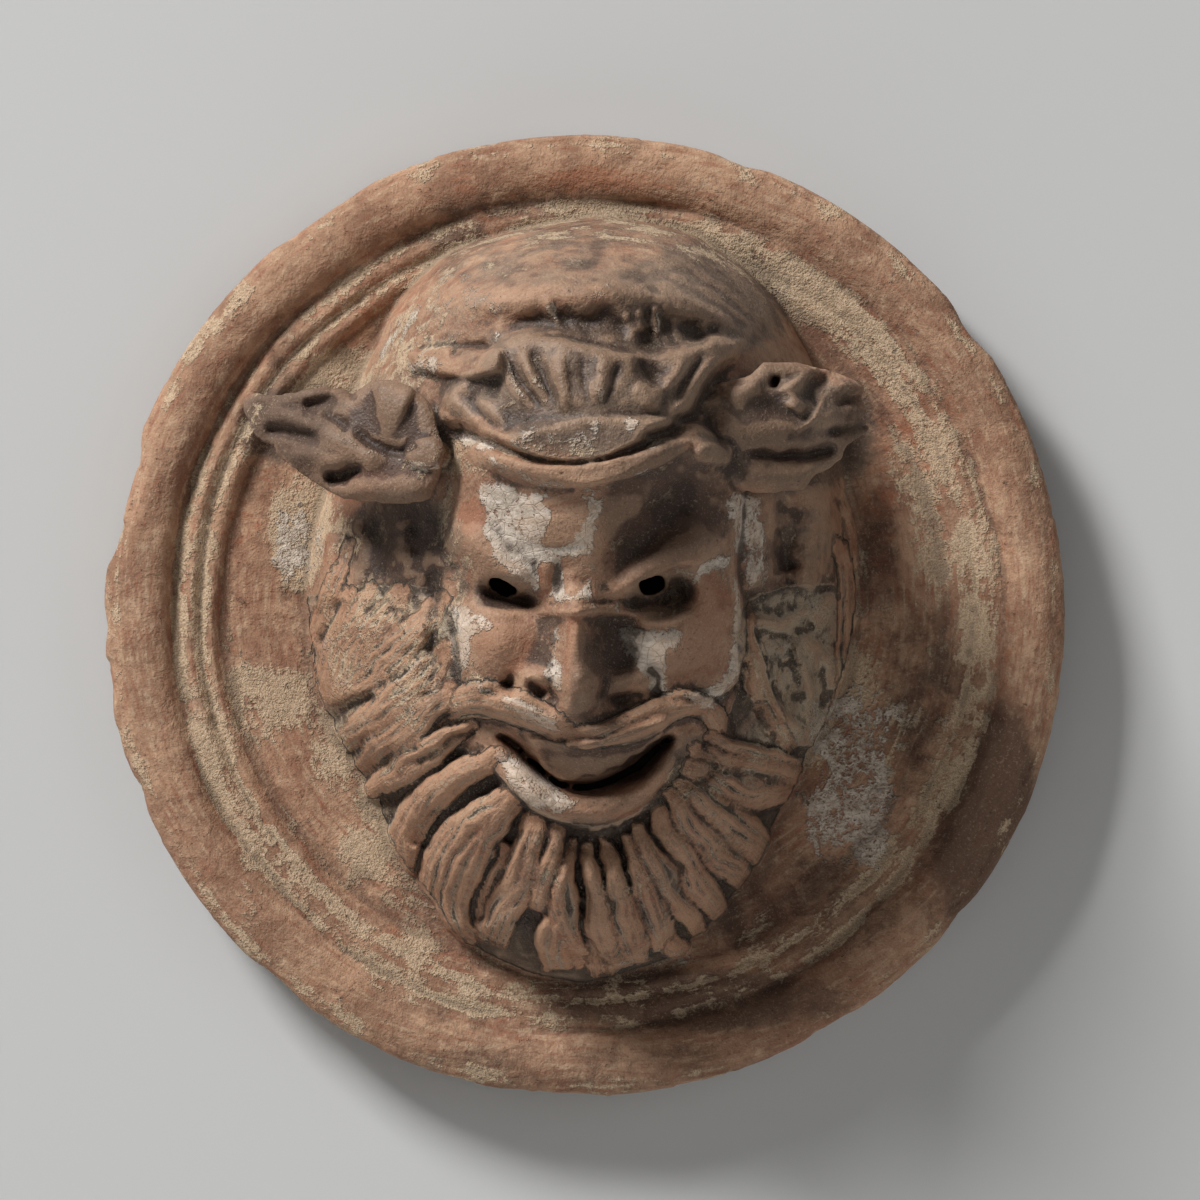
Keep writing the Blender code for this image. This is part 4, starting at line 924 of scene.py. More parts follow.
CREAM = (
    (((-44.3, 53.6), (-34.8, 55.3), (-24, 50.7), (-7.5, 49.9), (1.2, 49.9), (7.9, 47.4), (7.9, 42),
     (4.6, 37.9), (2.9, 20.1), (3.3, 7.2), (-5.4, 4.8), (-14.1, 7.2), (-19.5, 9.3),
     (-27.3, 15.9), (-34.8, 20.1), (-38.1, 26.7), (-42.7, 34.6), (-41.4, 42), (-44.7, 47.4)), 1.0),
    (((13.3, -7.2), (16.6, -3.9), (25.3, -6), (39.3, -6), (40.2, -11.4), (34, -17.2), (33.1, -23.4),
     (34, -31.3), (31.9, -33.3), (26.5, -32.5), (25.7, -26.7), (21.1, -21.3), (15.3, -15.9)), 1.0),
    (((39.3, -33.3), (45.1, -30), (53.8, -29.2), (59.2, -22.6), (61.3, -12.6), (60.9, 16.8),
     (63.4, 15.9), (64.6, 9.3), (65.8, -12.6), (64.2, -25.9), (58.4, -32.5), (52.6, -40),
     (42.7, -36.6)), 1.0),
    (((45.1, 11.4), (43.9, 15.9), (50.5, 22.6), (60.5, 24.6), (59.2, 20.1), (53.8, 20.1), (48.4, 14.7)),
     1.0),
    (((55.9, 45.3), (60.5, 52), (73.3, 49.9), (75.8, 31.3), (74.5, 20.1), (68.3, 10.1), (65.8, 18),
     (61.3, 28), (60.5, 38.7)), 0.8),
    (((-12.8, -6), (-14.1, -12.6), (-16.1, -21.3), (-17.4, -24.6), (-10.8, -32.5), (-9.5, -23.4),
     (-11.2, -14.7), (-9.5, -1.9)), 1.0),
    (((-55.5, 4.8), (-48, 4.8), (-38.1, -1.9), (-36.9, -7.2), (-42.7, -6), (-46.8, -12.6),
     (-49.3, -23.4), (-53.4, -29.2), (-58, -23.4), (-56.7, -7.2)), 0.75),
    (((-34.8, -33.3), (-27.3, -33.3), (-18.6, -37.9), (-12, -43.3), (-10.8, -48.7), (-17.4, -47),
     (-24, -43.7), (-29.4, -40), (-34, -37.9)), 1.0),
    (((-50.9, -28.8), (-43.5, -28.8), (-34, -31.3), (-34.8, -33.7), (-45.1, -32.9)), 0.9),
    (((-36.9, -56.1), (-27.3, -59), (-16.1, -66.9), (-7.9, -73.5), (-2.1, -78.5), (-10.4, -82.6),
     (-21.9, -79.7), (-29.4, -74.3), (-34.4, -66.9)), 1.0),
    (((-55.9, 76.4), (-49.3, 76.4), (-35.2, 69.8), (-37.7, 67.3), (-49.3, 68.9)), 1.0),
    (((-40.2, 67.3), (-18.6, 55.7), (6.2, 52.4), (26.9, 61.5), (27.7, 59.8), (6.2, 49.9), (-18.6, 52.4),
     (-41, 63.2)), 0.8),
    (((-16.6, 129.4), (-12, 129.4), (-10.4, 120.3), (-13.7, 122)), 1.0),
    (((-37.7, 118.6), (-35.6, 117.8), (-35.2, 112.8), (-36.9, 113.7)), 1.0),
    (((-33.1, 108.7), (-27.7, 97.1), (-23.6, 88), (-26.9, 89.7), (-31.9, 98.8)), 0.9),
    (((-21.9, 102.9), (-15.3, 93.8), (-14.1, 87.2), (-17, 88), (-21.1, 97.1)), 1.0),
    (((7, 93.8), (8.7, 93.8), (7.9, 87.2), (6.2, 88)), 1.0),
    (((12, 102.9), (14.5, 103.7), (10.4, 94.6), (8.7, 94.6)), 0.9),
    (((1.2, 82.2), (6.2, 81.4), (7, 74.7), (2.9, 74.7)), 0.9),
    (((16.6, 83.9), (22.8, 80.5), (19.5, 73.9), (16.1, 76.4)), 1.0),
    (((29, 126.1), (32.7, 126.9), (31.1, 116.2), (28.6, 117.8)), 0.9),
    (((-6.2, 114.5), (6.2, 111.2), (15.3, 107.9), (4.6, 109.5)), 0.8),
    (((22.8, 70.6), (43.5, 80.5), (47.6, 78.9), (26.9, 67.3)), 0.5),
    (((41, 93), (43.5, 97.1), (37.7, 84.7), (36, 83.9)), 0.8),
    (((-68.3, 130.2), (-63.4, 132.7), (-72.5, 117.8), (-78.3, 108.7), (-76.6, 117.8)), 0.8),
    (((-89, 105.4), (-79.9, 117.8), (-73.3, 128.6), (-77.4, 116.2), (-83.2, 106.2)), 0.7),
    (((-75, 104.6), (-60, 107), (-55.1, 105.4), (-60, 100.4), (-66.7, 97.1), (-71.6, 100.4)), 0.75),
    (((-43.5, 130.2), (-36.9, 131.9), (-35.2, 125.3), (-41, 122)), 0.6),
    (((2.9, 135.2), (9.5, 136.9), (7.9, 130.2), (4.6, 128.6)), 0.8),
    (((-29, 84.7), (-10.4, 78.5), (-12, 69.8), (-26.9, 72.3)), 0.55),
    (((-97.3, 72.3), (-80.7, 65.6), (-76.6, 64), (-93.2, 67.3)), 0.8),
    (((91.5, -35.4), (109.7, -31.3), (130.4, -40.4), (137.1, -60.3), (126.3, -76.8), (130.4, -97.5),
     (113.9, -105.8), (101.5, -93.4), (94, -101.7), (89, -76.8), (101.5, -64.4), (91.5, -52)), 0.7),
    (((-127.1, 43.3), (-118, 47.4), (-110.6, 39.1), (-113.9, 22.6), (-122.2, 12.2), (-130.4, 22.6)), 0.7),
    (((70.8, 39.1), (79.1, 39.1), (80.7, 10.1), (74.1, 6)), 0.5),
    (((79.1, -10.6), (85.7, -8.9), (89, -23), (83.2, -25.5)), 0.6),
    (((-10.4, -134.8), (-7.9, -130.6), (-9.5, -146.4), (-13.7, -143.9)), 0.7),
    (((26.9, -137.3), (47.6, -138.9), (43.5, -147.2), (22.8, -146.4)), 0.5),
)
BARE = (
    ((-17.8, 47.4), (-7.5, 48.7), (1.2, 45.3), (-0.8, 38.7), (-5.4, 30), (-12, 28), (-17.4, 28.8),
     (-16.1, 35.4), (-12.8, 41.2)),
    ((-19.5, 21.3), (-12.8, 21.3), (-14.1, 10.1), (-18.6, 9.3)),
    ((-9.5, 22.6), (1.2, 24.6), (1.7, 15.9), (-4.1, 8.5), (-7.9, 8.5)),
)
# Grey soot on the hair, the fan and the leaves. Some patches are painted shade instead: in the recess under
# the left leaf, in the eye sockets, in the groove beside the left cheek, on the shaded right side of the
# nose and on the lip slab.
SOOT_AND_SHADE = (
    ((-78.7, 77.2), (21.5, 14.1), 1.0), ((-118, 81.4), (27.3, 14.1), 0.9),
    ((-76.6, 28.8), (24.8, 23.2), 1.0), ((-10.4, 155.1), (66.3, 24.8), 0.6),
    ((-43.5, 117.8), (24.8, 16.6), 0.5), ((-35.2, 6), (12.4, 4.1), 0.9),
    ((6.2, 96.3), (53.8, 33.1), 0.95), ((47.6, 130.2), (37.3, 27.3), 0.9),
    ((-6.2, 150.9), (49.7, 18.2), 0.5), ((82.8, 76.4), (39.8, 26.5), 0.95),
    ((-122.2, 78.5), (24.8, 18.2), 0.7), ((-76.6, 88.8), (20.7, 14.9), 0.55),
    ((-76.6, 28.8), (20.7, 21.5), 0.9), ((-61.7, -6.4), (5, 27.3), 0.8),
    ((43.5, 39.1), (33.1, 24.8), 0.5), ((8.7, -31.3), (17.4, 24.8), 0.5),
    ((6.2, -58.2), (26.5, 9.9), 0.5), ((84.9, 22.6), (20.7, 29.8), 0.6),
    ((47.6, -62.3), (14.1, 14.9), 0.7), ((6.2, -118.2), (37.3, 31.5), 0.45),
    ((60, -93.4), (20.7, 20.7), 0.45), ((6.2, -90.1), (24.8, 7.5), 0.7),
    ((-47.6, 90.9), (14.9, 9.9), 0.8), ((22.8, 64), (37.3, 10.8), 0.6),
    ((72.5, -43.7), (8.3, 16.6), 0.6), ((-33.1, 10.1), (14.9, 6.6), 0.8),
    ((31.1, 8.1), (16.6, 10.8), 0.6), ((-43.5, -126.5), (16.6, 16.6), 0.4),
)
RUST = (
    ((6.2, 179.9), (31.5, 6.2), 0.8), ((-49.7, 166.7), (10.8, 16.6), 0.6),
    ((-86.5, 54), (24.8, 9.1), 0.85), ((-83.2, 87.2), (9.1, 5.8), 1.0),
    ((-114.7, 86.3), (5.8, 4.1), 0.9), ((-32.7, -12.6), (14.9, 12.4), 0.9),
    ((53.8, 6), (9.9, 19), 0.75), ((-4.6, -16.8), (3.7, 21.5), 0.95), ((-46.8, 40.8), (6.6, 8.3), 0.8),
    ((-47.6, -97.5), (14.9, 18.2), 0.5), ((6.2, -81.8), (24.8, 4.6), 0.85),
    ((-17.4, 14.3), (4.1, 7.5), 0.9), ((161.5, 118.6), (6.6, 4.1), 1.0),
    ((142.9, 72.3), (16.6, 29), 0.55), ((122.2, 47.4), (8.3, 37.3), 0.6),
    ((-84.9, 132.3), (20.7, 10.8), 0.5), ((22.8, 150.9), (20.7, 7.5), 0.5),
    ((47.6, 142.7), (4.1, 4.1), 0.3), ((-60, -134.8), (29, 10.8), 0.5),
    ((-105.6, 22.6), (5, 12.4), 0.7), ((43.5, -18.8), (14.9, 12.4), 0.5),
    ((-10.4, -72.7), (12.4, 4.1), 0.5), ((2.1, -54), (24.8, 8.3), 0.3),
    ((-134.6, 47.4), (20.7, 37.3), 0.4), ((22.8, -68.5), (16.6, 6.6), 0.6),
    ((-7, -120.3), (9.1, 24.8), 0.8), ((22.8, -118.2), (8.3, 24.8), 0.7),
    ((-39.3, -97.5), (10.8, 16.6), 0.6), ((-69.2, -97.5), (5, 16.6), 0.7),
    ((-33.1, -52), (5.8, 5.8), 0.6), ((47.6, -105.8), (8.3, 16.6), 0.6),
    ((76.6, -18.8), (5, 16.6), 0.4), ((-118, -10.6), (12.4, 24.8), 0.4), ((171.9, 6), (8.3, 49.7), 0.3),
)
# Painted shade: the head's cast shadow on the field and rim at the lower right and bottom, the shaded right
# side of the forehead, the lip slab, the eye sockets, the groove beside the left cheek, the recess under
# the left leaf, the leaves' shadows on the field and a few other shaded places. Some patches also darken
# the leaves' own brown clay.
SHADE_AND_DARK_LEAF = (
    ((31.1, 45.3), (26.5, 25.7), 1.0), ((8.3, -56.9), (27.3, 14.1), 1.0), ((0, -27.1), (7, 20.7), 0.8),
    ((-118, 84.7), (29, 18.2), 0.5), ((171.9, -85.1), (16.6, 49.7), 1.0),
    ((-79.9, 78.5), (22.4, 15.7), 0.95), ((-122.2, 80.5), (24.8, 16.6), 0.7),
    ((-84.9, 53.6), (24.8, 8.3), 0.4), ((11.2, -18.8), (9.9, 22.4), 0.8),
    ((36.9, 9.3), (9.1, 6.6), 1.0), ((-33.5, 6), (12.4, 4.1), 1.0), ((-76.6, 28.8), (21.5, 23.2), 0.9),
    ((167.7, -97.5), (24.8, 49.7), 0.85), ((6.2, -185.3), (95.2, 9.9), 0.5),
    ((-142.9, -122.4), (33.1, 45.6), 0.25), ((-61.7, -10.6), (5, 29), 0.9),
    ((82.8, 76.4), (39.8, 26.5), 0.5), ((6.2, -93.4), (33.1, 8.3), 0.8),
    ((-10.4, 95), (24.8, 20.7), 0.3), ((22.8, 22.6), (18.2, 12.4), 0.5),
    ((10.4, -78.9), (29, 7.5), 0.4), ((80.7, 22.6), (6.6, 20.7), 0.6),
    ((142.9, -35.4), (24.8, 45.6), 0.5), ((89, -120.3), (45.6, 24.8), 0.6),
    ((43.5, -159.6), (74.5, 14.1), 0.75), ((122.2, 22.6), (9.9, 33.1), 0.5),
    ((22.8, -190.7), (82.8, 10.8), 0.5), ((155.3, -109.9), (24.8, 49.7), 0.45),
    ((-35.2, -163.8), (37.3, 10.8), 0.5), ((-60, 157.2), (24.8, 6.6), 0.4),
    ((-124.2, 109.5), (8.3, 20.7), 0.4),
)
x, y, height = on_sheet(points)
normals = read_normals(clay_mesh)
# cavity is 0 on ridges and 1 deep in hollows. It lays sand in the hollows, lightens the rubbed ridges, and
# sets painted shade in the hollows and between the locks.
near = ((spread(clay_mesh, points, 5) - points) * normals).sum(axis=1) * 1000
wide = ((spread(clay_mesh, points, 40) - points) * normals).sum(axis=1) * 1000
cavity = np.clip(0.5 + 0.9 * near + 0.22 * wide, 0, 1)
# Painted shade: faces turned to the back, on the back and in the hollow, are marked to be darkened, so that
# the hollow looks dark through the eyes and mouth.
behind = step(0.0, 0.5, normals[:, 1]) * (height < 130)
column = np.clip(np.round((x - u[0, 0]) / SHEET).astype(int), 0, u.shape[1] - 1)
row = np.clip(np.round((y - v[0, 0]) / SHEET).astype(int), 0, u.shape[0] - 1)
low_noise = noise(points, 0.014)
fine_noise = noise(points, 0.0055)
drawn_slip = np.zeros(u.shape)
for outline, strength in CREAM:
    drawn_slip = np.maximum(drawn_slip, strength * step(-3.2, 3.2, inside(outline)))
for outline in BARE:
    drawn_slip *= step(1.0, -1.5, inside(outline))
on_drawing = (x > u[0, 0]) & (x < u[0, -1]) & (y > v[0, 0]) & (y < v[-1, 0])
slip = np.maximum(drawn_slip[row, column] * on_drawing, 0.75 * patches(x, y, SLIP))
slip = slip + 0.14 * low_noise + 0.16 * fine_noise - 0.1
soot_and_shade = patches(x, y, SOOT_AND_SHADE) + 0.18 * low_noise + 0.1 * fine_noise
rust = patches(x, y, RUST) + 0.2 * noise(points + 3, 0.012)
# The painted shade patches; the leaves' darker clay is added to them below.
shade_and_dark_leaf = patches(x, y, SHADE_AND_DARK_LEAF) + 0.2 * noise(points + 5, 0.018)
sand = sandiness(points) + 0.6 * (cavity - 0.5) + 0.4 * low_noise + 0.2 * fine_noise - 0.05
radius = np.hypot(x, y)
leafy = (np.maximum(left_out, right_out)[row, column] > 0) & (height > 92) & on_drawing
# The leaves' darker clay, stronger on the left leaf.
shade_and_dark_leaf = np.maximum(shade_and_dark_leaf, leafy * (0.8 + 0.3 * low_noise) * np.where(x < 0, 1.0, 0.5))
thrown = np.stack([radius, radius * np.abs(np.arctan2(x + 1e-6, y)), radius * 0], axis=1)
is_hair = on_drawing & (height > FIELD + 3) & (smooth_head[row, column] > 0) & (COMB[2, row, column] > 0)
comb = np.where(is_hair[:, None], COMB[:, row, column].T, thrown)
lay = clay_mesh.attributes.new("comb", "FLOAT_VECTOR", "POINT")
lay.data.foreach_set("vector", comb.astype(np.float32).ravel())
on_mask = step(-2, 4, height - FIELD - 8) * step(150, 140, np.hypot(x * 1.2, y - 8))
deposits = np.clip(np.stack([slip, soot_and_shade, sand, on_mask], axis=1), 0, 1)
stains_and_shade = np.clip(np.stack([rust, shade_and_dark_leaf, cavity, behind], axis=1), 0, 1)
for name, values in (("deposits", deposits), ("stains_and_shade", stains_and_shade)):
    layer = clay_mesh.attributes.new(name, "FLOAT_COLOR", "POINT")
    layer.data.foreach_set("color", values.astype(np.float32).ravel())


def tone(red, green, blue):
    """A colour as the eye reads it, 0 to 255, as the linear value a shader takes."""
    values = [c / 255 for c in (red, green, blue)]
    return tuple(c / 12.92 if c <= 0.04045 else ((c + 0.055) / 1.055) ** 2.4 for c in values) + (1.0,)


class Wire:
    """One output in a material. Sums with it add Math nodes, and node() adds any other kind."""

    def __init__(self, tree, socket=None):
        self.tree = tree
        self.socket = socket

    def node(self, kind, settings=None, inputs=None, output=0):
        made = self.tree.nodes.new(kind)
        for key, value in (settings or {}).items():
            if key == "stops":
                while len(made.color_ramp.elements) < len(value):
                    made.color_ramp.elements.new(1.0)
                for element, (place, colour) in zip(made.color_ramp.elements, value):
                    element.position = place
                    element.color = colour
            else:
                setattr(made, key, value)
        for key, value in (inputs or {}).items():
            if isinstance(value, Wire):
                self.tree.links.new(value.socket, made.inputs[key])
            else:
                made.inputs[key].default_value = value
        return Wire(self.tree, made.outputs[output] if made.outputs else None)

    def math(self, operation, first, second):
        return self.node("ShaderNodeMath", {"operation": operation}, {0: first, 1: second})

    def __add__(self, other):
        return self.math("ADD", self, other)

    def __radd__(self, other):
        return self.math("ADD", other, self)

    def __sub__(self, other):
        return self.math("SUBTRACT", self, other)

    def __rsub__(self, other):
        return self.math("SUBTRACT", other, self)

    def __mul__(self, other):
        return self.math("MULTIPLY", self, other)

    def __rmul__(self, other):
        return self.math("MULTIPLY", other, self)

    def rising(self, low, high):
        """0 below low, 1 above high and a smooth S between."""
        smooth = {"interpolation_type": "SMOOTHSTEP"}
        return self.node("ShaderNodeMapRange", smooth, {0: self, 1: low, 2: high})


material = bpy.data.materials.new("fired_clay")
material.use_nodes = True
tree = material.node_tree
tree.nodes.clear()
wire = Wire(tree)
place = wire.node("ShaderNodeTexCoord", output="Object")


def grain(scale, detail=5.0, roughness=0.6, distortion=0.0):
    """Cloudy noise from 0 to 1 over the object's own metres; scale is cells to the metre."""
    return wire.node("ShaderNodeTexNoise", None, {
        "Vector": place, "Scale": scale, "Detail": detail, "Roughness": roughness,
        "Distortion": distortion})


def blend(share, under, over):
    """The under colour with a share of the over colour laid on it."""
    return wire.node("ShaderNodeMix", {"data_type": "RGBA"}, {0: share, 6: under, 7: over}, output=2)


def parts(name):
    """The three shares kept in one of the mesh's attributes, and its fourth as well."""
    held = tree.nodes.new("ShaderNodeAttribute")
    held.attribute_name = name
    split = tree.nodes.new("ShaderNodeSeparateColor")
    tree.links.new(held.outputs["Color"], split.inputs[0])
    return [Wire(tree, split.outputs[k]) for k in range(3)] + [Wire(tree, held.outputs["Alpha"])]


slip_share, soot_and_shade_share, sand_share, mask_share = parts("deposits")
rust_share, shade_and_dark_leaf_share, cavity_share, back_shade_share = parts("stains_and_shade")
clouds = grain(30, 3.0, 0.65, 0.4)
patchy = (grain(95, 4.0, 0.7, 0.3) - 0.5) * 3.0
speckle = (grain(520, 2.0, 0.7) - 0.5) * 3.0
dust = (grain(1150, 1.0, 0.75) - 0.5) * 3.2
slanted = wire.node("ShaderNodeMapping", None, {
    "Vector": place, "Scale": (1.0, 1.0, 2.5), "Rotation": (0.0, 0.7, 0.0)})
streaks = wire.node("ShaderNodeTexNoise", None, {
    "Vector": slanted, "Scale": 90.0, "Detail": 3.0, "Roughness": 0.7})
lie = tree.nodes.new("ShaderNodeAttribute")
lie.attribute_name = "comb"
lie_split = tree.nodes.new("ShaderNodeSeparateXYZ")
tree.links.new(lie.outputs["Vector"], lie_split.inputs[0])
level = Wire(tree, lie_split.outputs[2])
hair = level.rising(0.02, 0.16)
crest = level.rising(0.55, 0.95)
valley = level.rising(0.75, 0.3) * hair
combed = wire.node("ShaderNodeMapping", None, {
    "Vector": Wire(tree, lie.outputs["Vector"]), "Scale": (0.42, 0.07, 0.0)})
drawn = wire.node("ShaderNodeTexNoise", None, {
    "Vector": combed, "Scale": 1.0, "Detail": 3.0, "Roughness": 0.6})
strand = (drawn - 0.5) * 3.0 * hair
turning = (drawn - 0.5) * 3.0 * (1.0 - hair)

# The colours of the clay, its stains and its deposits, and of the painted shade laid over them.
DEEP_CLAY = tone(136, 100, 78)
PALE_CLAY = tone(178, 140, 112)
RED_CLAY = tone(146, 98, 74)
WORN_CLAY = tone(190, 160, 132)
BURNT_CLAY = tone(132, 84, 62)
CHALKY_FLECK = tone(192, 166, 140)
BROWN_FLECK = tone(106, 74, 56)
PALE_STREAK = tone(194, 164, 134)
RED_STREAK = tone(136, 80, 58)
RUST_TONE = tone(152, 94, 66)
MASK_TONE = tone(124, 90, 70)
DARK_SOOT_AND_SHADE = tone(78, 63, 52)
GREY_SOOT_AND_SHADE = tone(116, 98, 83)
SHADE_AND_LEAF_TONE = tone(68, 48, 38)
DARK_SAND = tone(150, 124, 96)
LIGHT_SAND = tone(224, 200, 168)
GREY_SLIP = tone(178, 164, 148)
CREAM_SLIP = tone(214, 201, 186)
WORN_SLIP = tone(134, 106, 86)
LOCK_CREST = tone(170, 124, 94)
LOCK_DUST = tone(156, 142, 122)
LOCK_GAP_SHADE = tone(52, 40, 33)
STRAND_GROOVE_SHADE = tone(78, 60, 49)
STRAND_TOP_LIGHT = tone(186, 160, 134)
RUBBED_CLAY = tone(190, 154, 124)
HOLLOW_SHADE_TONE = tone(56, 42, 34)
PIT_SHADE_TONE = tone(72, 55, 45)
DARK_GRIT = tone(70, 52, 42)
PALE_GRIT = tone(214, 190, 164)
BACK_SHADE_TONE = tone(120, 88, 70)

clay = blend(clouds.rising(0.35, 0.65), DEEP_CLAY, PALE_CLAY)
clay = blend(patchy.rising(0.0, 0.7) * 0.6, clay, RED_CLAY)
worn = (grain(17, 5.0, 0.72, 0.8) - 0.5) * 3.0
clay = blend(worn.rising(0.1, 0.8) * 0.5, clay, WORN_CLAY)
clay = blend((0.0 - worn).rising(0.1, 0.7) * 0.6, clay, BURNT_CLAY)
mottle = (grain(230, 3.0, 0.7) - 0.5) * 3.0
clay = blend((mottle + worn * 0.4).rising(0.1, 0.8) * 0.5, clay, CHALKY_FLECK)
clay = blend((0.0 - mottle + worn * 0.3).rising(0.1, 0.8) * 0.55, clay, BROWN_FLECK)
clay = blend((turning + mottle * 0.4).rising(0.05, 0.6) * 0.5, clay, PALE_STREAK)
clay = blend((worn * 0.3 - turning).rising(0.05, 0.6) * 0.6, clay, RED_STREAK)
rust_edge = (rust_share + (streaks - 0.5) * 1.6 + turning * 0.5 + speckle * 0.08).rising(0.4, 0.85)
clay = blend(rust_edge * 0.75, clay, RUST_TONE)
clay = blend(mask_share * 0.45, clay, MASK_TONE)
# Soot, and in places painted shade, in a grey brown.
soot_and_shade_edge = (soot_and_shade_share + patchy * 0.22 + (streaks - 0.5) * 0.8).rising(0.3, 0.75)
soot_and_shade_tone = blend((clouds + mottle * 0.1).rising(0.38, 0.62), DARK_SOOT_AND_SHADE, GREY_SOOT_AND_SHADE)
clay = blend(soot_and_shade_edge * 0.88, clay, soot_and_shade_tone)
# Painted shade, and the leaves' darker clay, laid on in a dark brown.
shade_and_dark_leaf_edge = (shade_and_dark_leaf_share + patchy * 0.35).rising(0.25, 0.85)
clay = blend(shade_and_dark_leaf_edge * 0.85, clay, SHADE_AND_LEAF_TONE)
sand_edge = (sand_share + patchy * 0.45 + speckle * 0.3 + turning * 0.3).rising(0.36, 0.66)
sand_tone = blend((dust * 0.8 + speckle * 0.4).rising(-0.6, 0.6), DARK_SAND, LIGHT_SAND)
clay = blend(sand_edge * 0.8, clay, sand_tone)
crackle = wire.node("ShaderNodeTexVoronoi", {"feature": "DISTANCE_TO_EDGE"}, {
    "Vector": place, "Scale": 190.0, "Randomness": 1.0}).rising(0.0, 0.05)
slip_edge = (slip_share + patchy * 0.55 + speckle * 0.35).rising(0.38, 0.66)
slip_tone = blend(streaks.rising(0.35, 0.65), GREY_SLIP, CREAM_SLIP)
clay = blend(slip_edge * (0.6 + crackle * 0.3), clay, slip_tone)
clay = blend((speckle * 0.6 + patchy - 0.2).rising(0.2, 0.5) * slip_edge * 0.7, clay, WORN_SLIP)
hollows = (valley + patchy * 0.35 + strand * -0.25)
clay = blend((crest + patchy * 0.5).rising(0.4, 1.2) * hair * 0.6, clay, LOCK_CREST)
clay = blend(hollows.rising(0.1, 0.6) * (0.55 + sand_share * 0.4), clay, LOCK_DUST)
# Painted shade in the deepest gaps between the locks.
clay = blend((hollows + cavity_share * 0.7 - patchy * 0.3).rising(0.9, 1.4) * 0.8, clay, LOCK_GAP_SHADE)
# Painted shade in the fine grooves between strands, and painted light on their tops.
clay = blend((0.0 - strand).rising(0.2, 0.8) * 0.45, clay, STRAND_GROOVE_SHADE)
clay = blend(strand.rising(0.4, 0.9) * 0.35, clay, STRAND_TOP_LIGHT)
rubbed = (0.5 - cavity_share).rising(0.06, 0.3)
clay = blend(rubbed * (0.1 + mask_share * 0.2), clay, RUBBED_CLAY)
# Painted shade in the hollows, stronger on the mask.
hollow_shade = (cavity_share + speckle * 0.15 + patchy * 0.1).rising(0.62, 0.95)
clay = blend(hollow_shade * (0.4 + mask_share * 0.4), clay, HOLLOW_SHADE_TONE)
# Small pits, pressed into the bump and painted with shade.
holes = (speckle + patchy * 0.5).rising(0.55, 0.8) * (0.5 + sand_edge * 0.4)
clay = blend(holes * 0.6, clay, PIT_SHADE_TONE)
clay = blend((dust + speckle * 0.5).rising(0.2, 0.9) * (0.32 + sand_edge * 0.25), clay, DARK_GRIT)
clay = blend((0.0 - dust - speckle * 0.4).rising(0.2, 0.9) * (0.2 + sand_edge * 0.3), clay, PALE_GRIT)
# Painted shade on the faces turned to the back.
clay = blend(back_shade_share * 0.45, clay, BACK_SHADE_TONE)
bumps = speckle * (0.1 + sand_edge * 0.08) + mottle * 0.12 + patchy * 0.45
bumps = bumps + slip_edge * 0.45 + sand_edge * 0.3 - dust * (0.04 + sand_edge * 0.12)
bumps = bumps + crackle * slip_edge * 0.15 + strand * 0.3 - holes * 0.9
bump = wire.node("ShaderNodeBump", None, {"Height": bumps, "Strength": 1.0, "Distance": 0.0011})
shine = 0.9 - mask_share * 0.2 - soot_and_shade_edge * 0.1
surface = wire.node("ShaderNodeBsdfPrincipled", None, {
    "Base Color": clay, "Roughness": shine, "Metallic": 0.0, "Normal": bump, "Specular IOR Level": 0.42})
wire.node("ShaderNodeOutputMaterial", None, {"Surface": surface})
clay_mesh.materials.clear()
clay_mesh.materials.append(material)


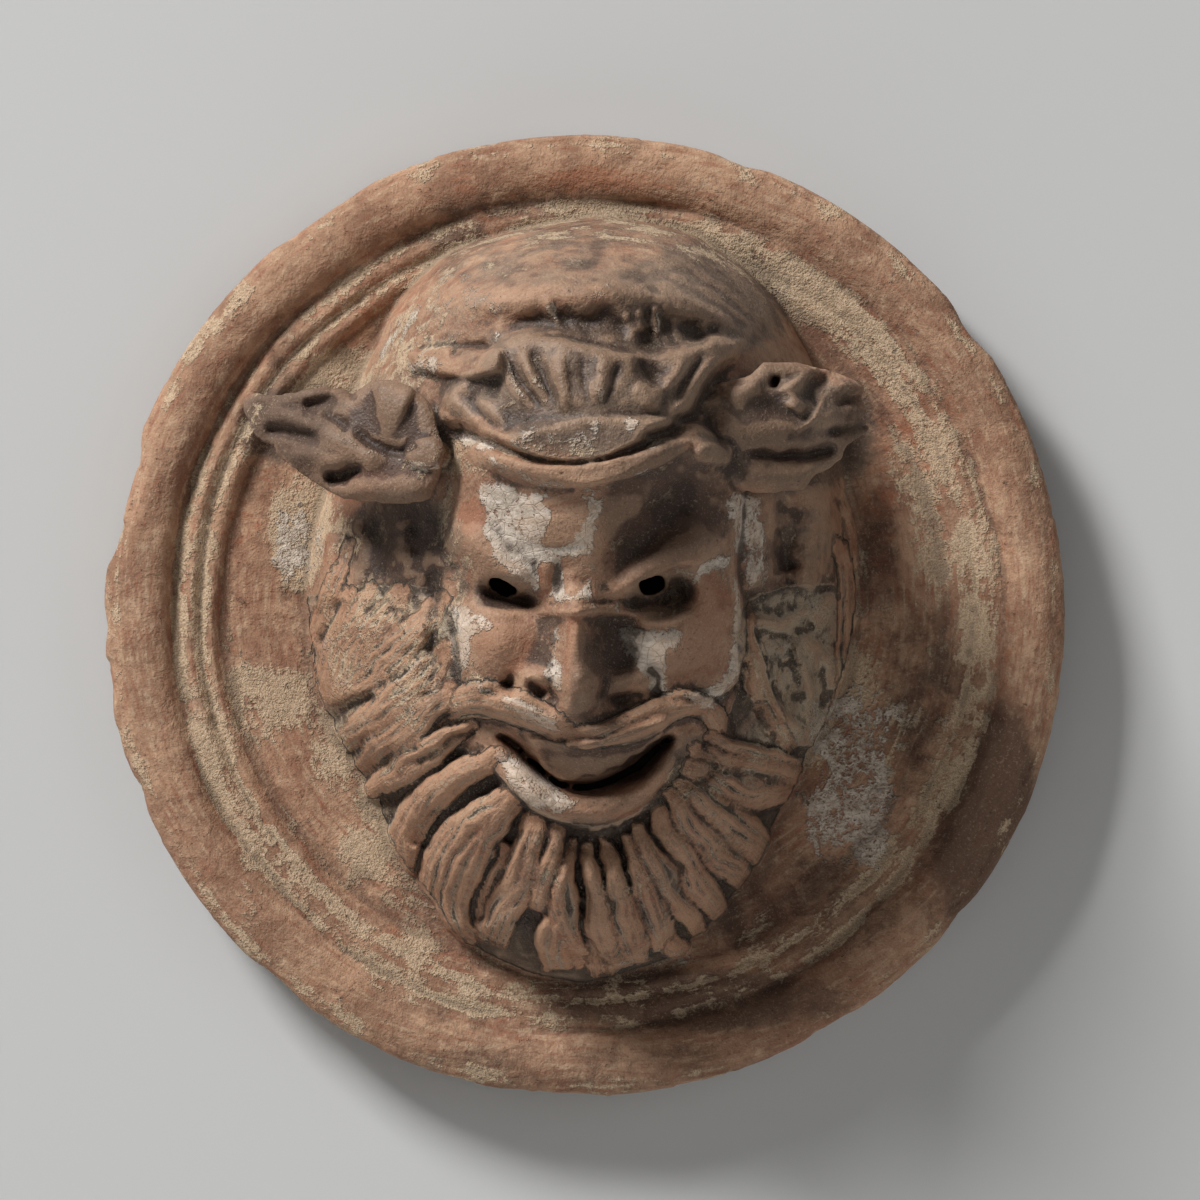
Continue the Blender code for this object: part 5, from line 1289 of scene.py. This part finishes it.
# The stage: a pale wall behind and a pale floor below. The wall shows from the front alone, so
# that from behind the hollow back is seen.
def plain_sheet(name, corners, colour):
    """A flat sheet of four corners whose back lets light and sight through."""
    mesh = filled_mesh(name, np.array(corners, float), np.array([[0, 1, 2, 3]]))
    sheet = bpy.data.objects.new(name, mesh)
    bpy.context.scene.collection.objects.link(sheet)
    paint = bpy.data.materials.new(name)
    paint.use_nodes = True
    paint.node_tree.nodes.clear()
    pen = Wire(paint.node_tree)
    front = pen.node("ShaderNodeBsdfDiffuse", None, {"Color": colour})
    clear = pen.node("ShaderNodeBsdfTransparent")
    back = pen.node("ShaderNodeNewGeometry", output="Backfacing")
    mixed = pen.node("ShaderNodeMixShader", None, {0: back, 1: front, 2: clear})
    pen.node("ShaderNodeOutputMaterial", None, {"Surface": mixed})
    mesh.materials.append(paint)


def lamp(name, spot, power, size):
    """A square soft light at the spot, turned to the middle of the mask."""
    light = bpy.data.lights.new(name, "AREA")
    light.energy = power
    light.size = size
    holder = bpy.data.objects.new(name, light)
    holder.location = spot
    aim = Vector((0, -0.06, DISC_MIDDLE)) - Vector(spot)
    holder.rotation_euler = aim.to_track_quat("-Z", "Y").to_euler()
    bpy.context.scene.collection.objects.link(holder)


BACKDROP = tone(204, 204, 203)
WALL_GAP = 0.006
FLOOR_LEVEL = -1.3
WALL_TOP = 1.5
HALF_WIDTH = 2
WALL_CORNERS = [
    (-HALF_WIDTH, WALL_GAP, FLOOR_LEVEL), (HALF_WIDTH, WALL_GAP, FLOOR_LEVEL),
    (HALF_WIDTH, WALL_GAP, WALL_TOP), (-HALF_WIDTH, WALL_GAP, WALL_TOP),
]
FLOOR_CORNERS = [
    (-HALF_WIDTH, -2, FLOOR_LEVEL), (HALF_WIDTH, -2, FLOOR_LEVEL),
    (HALF_WIDTH, 1, FLOOR_LEVEL), (-HALF_WIDTH, 1, FLOOR_LEVEL),
]
plain_sheet("wall", WALL_CORNERS, BACKDROP)
plain_sheet("floor", FLOOR_CORNERS, BACKDROP)
lamp("key", (-3.0, -2.45, 3.6), 385, 1.4)
lamp("fill", (1.8, -1.8, 0.2), 6.0, 1.6)
lamp("behind", (0.9, 1.8, 0.9), 10, 1.2)
world = bpy.data.worlds.new("world")
bpy.context.scene.world = world
world.use_nodes = True
world.node_tree.nodes["Background"].inputs[0].default_value = (0.09, 0.09, 0.09, 1)
bpy.context.scene.view_settings.view_transform = "Standard"
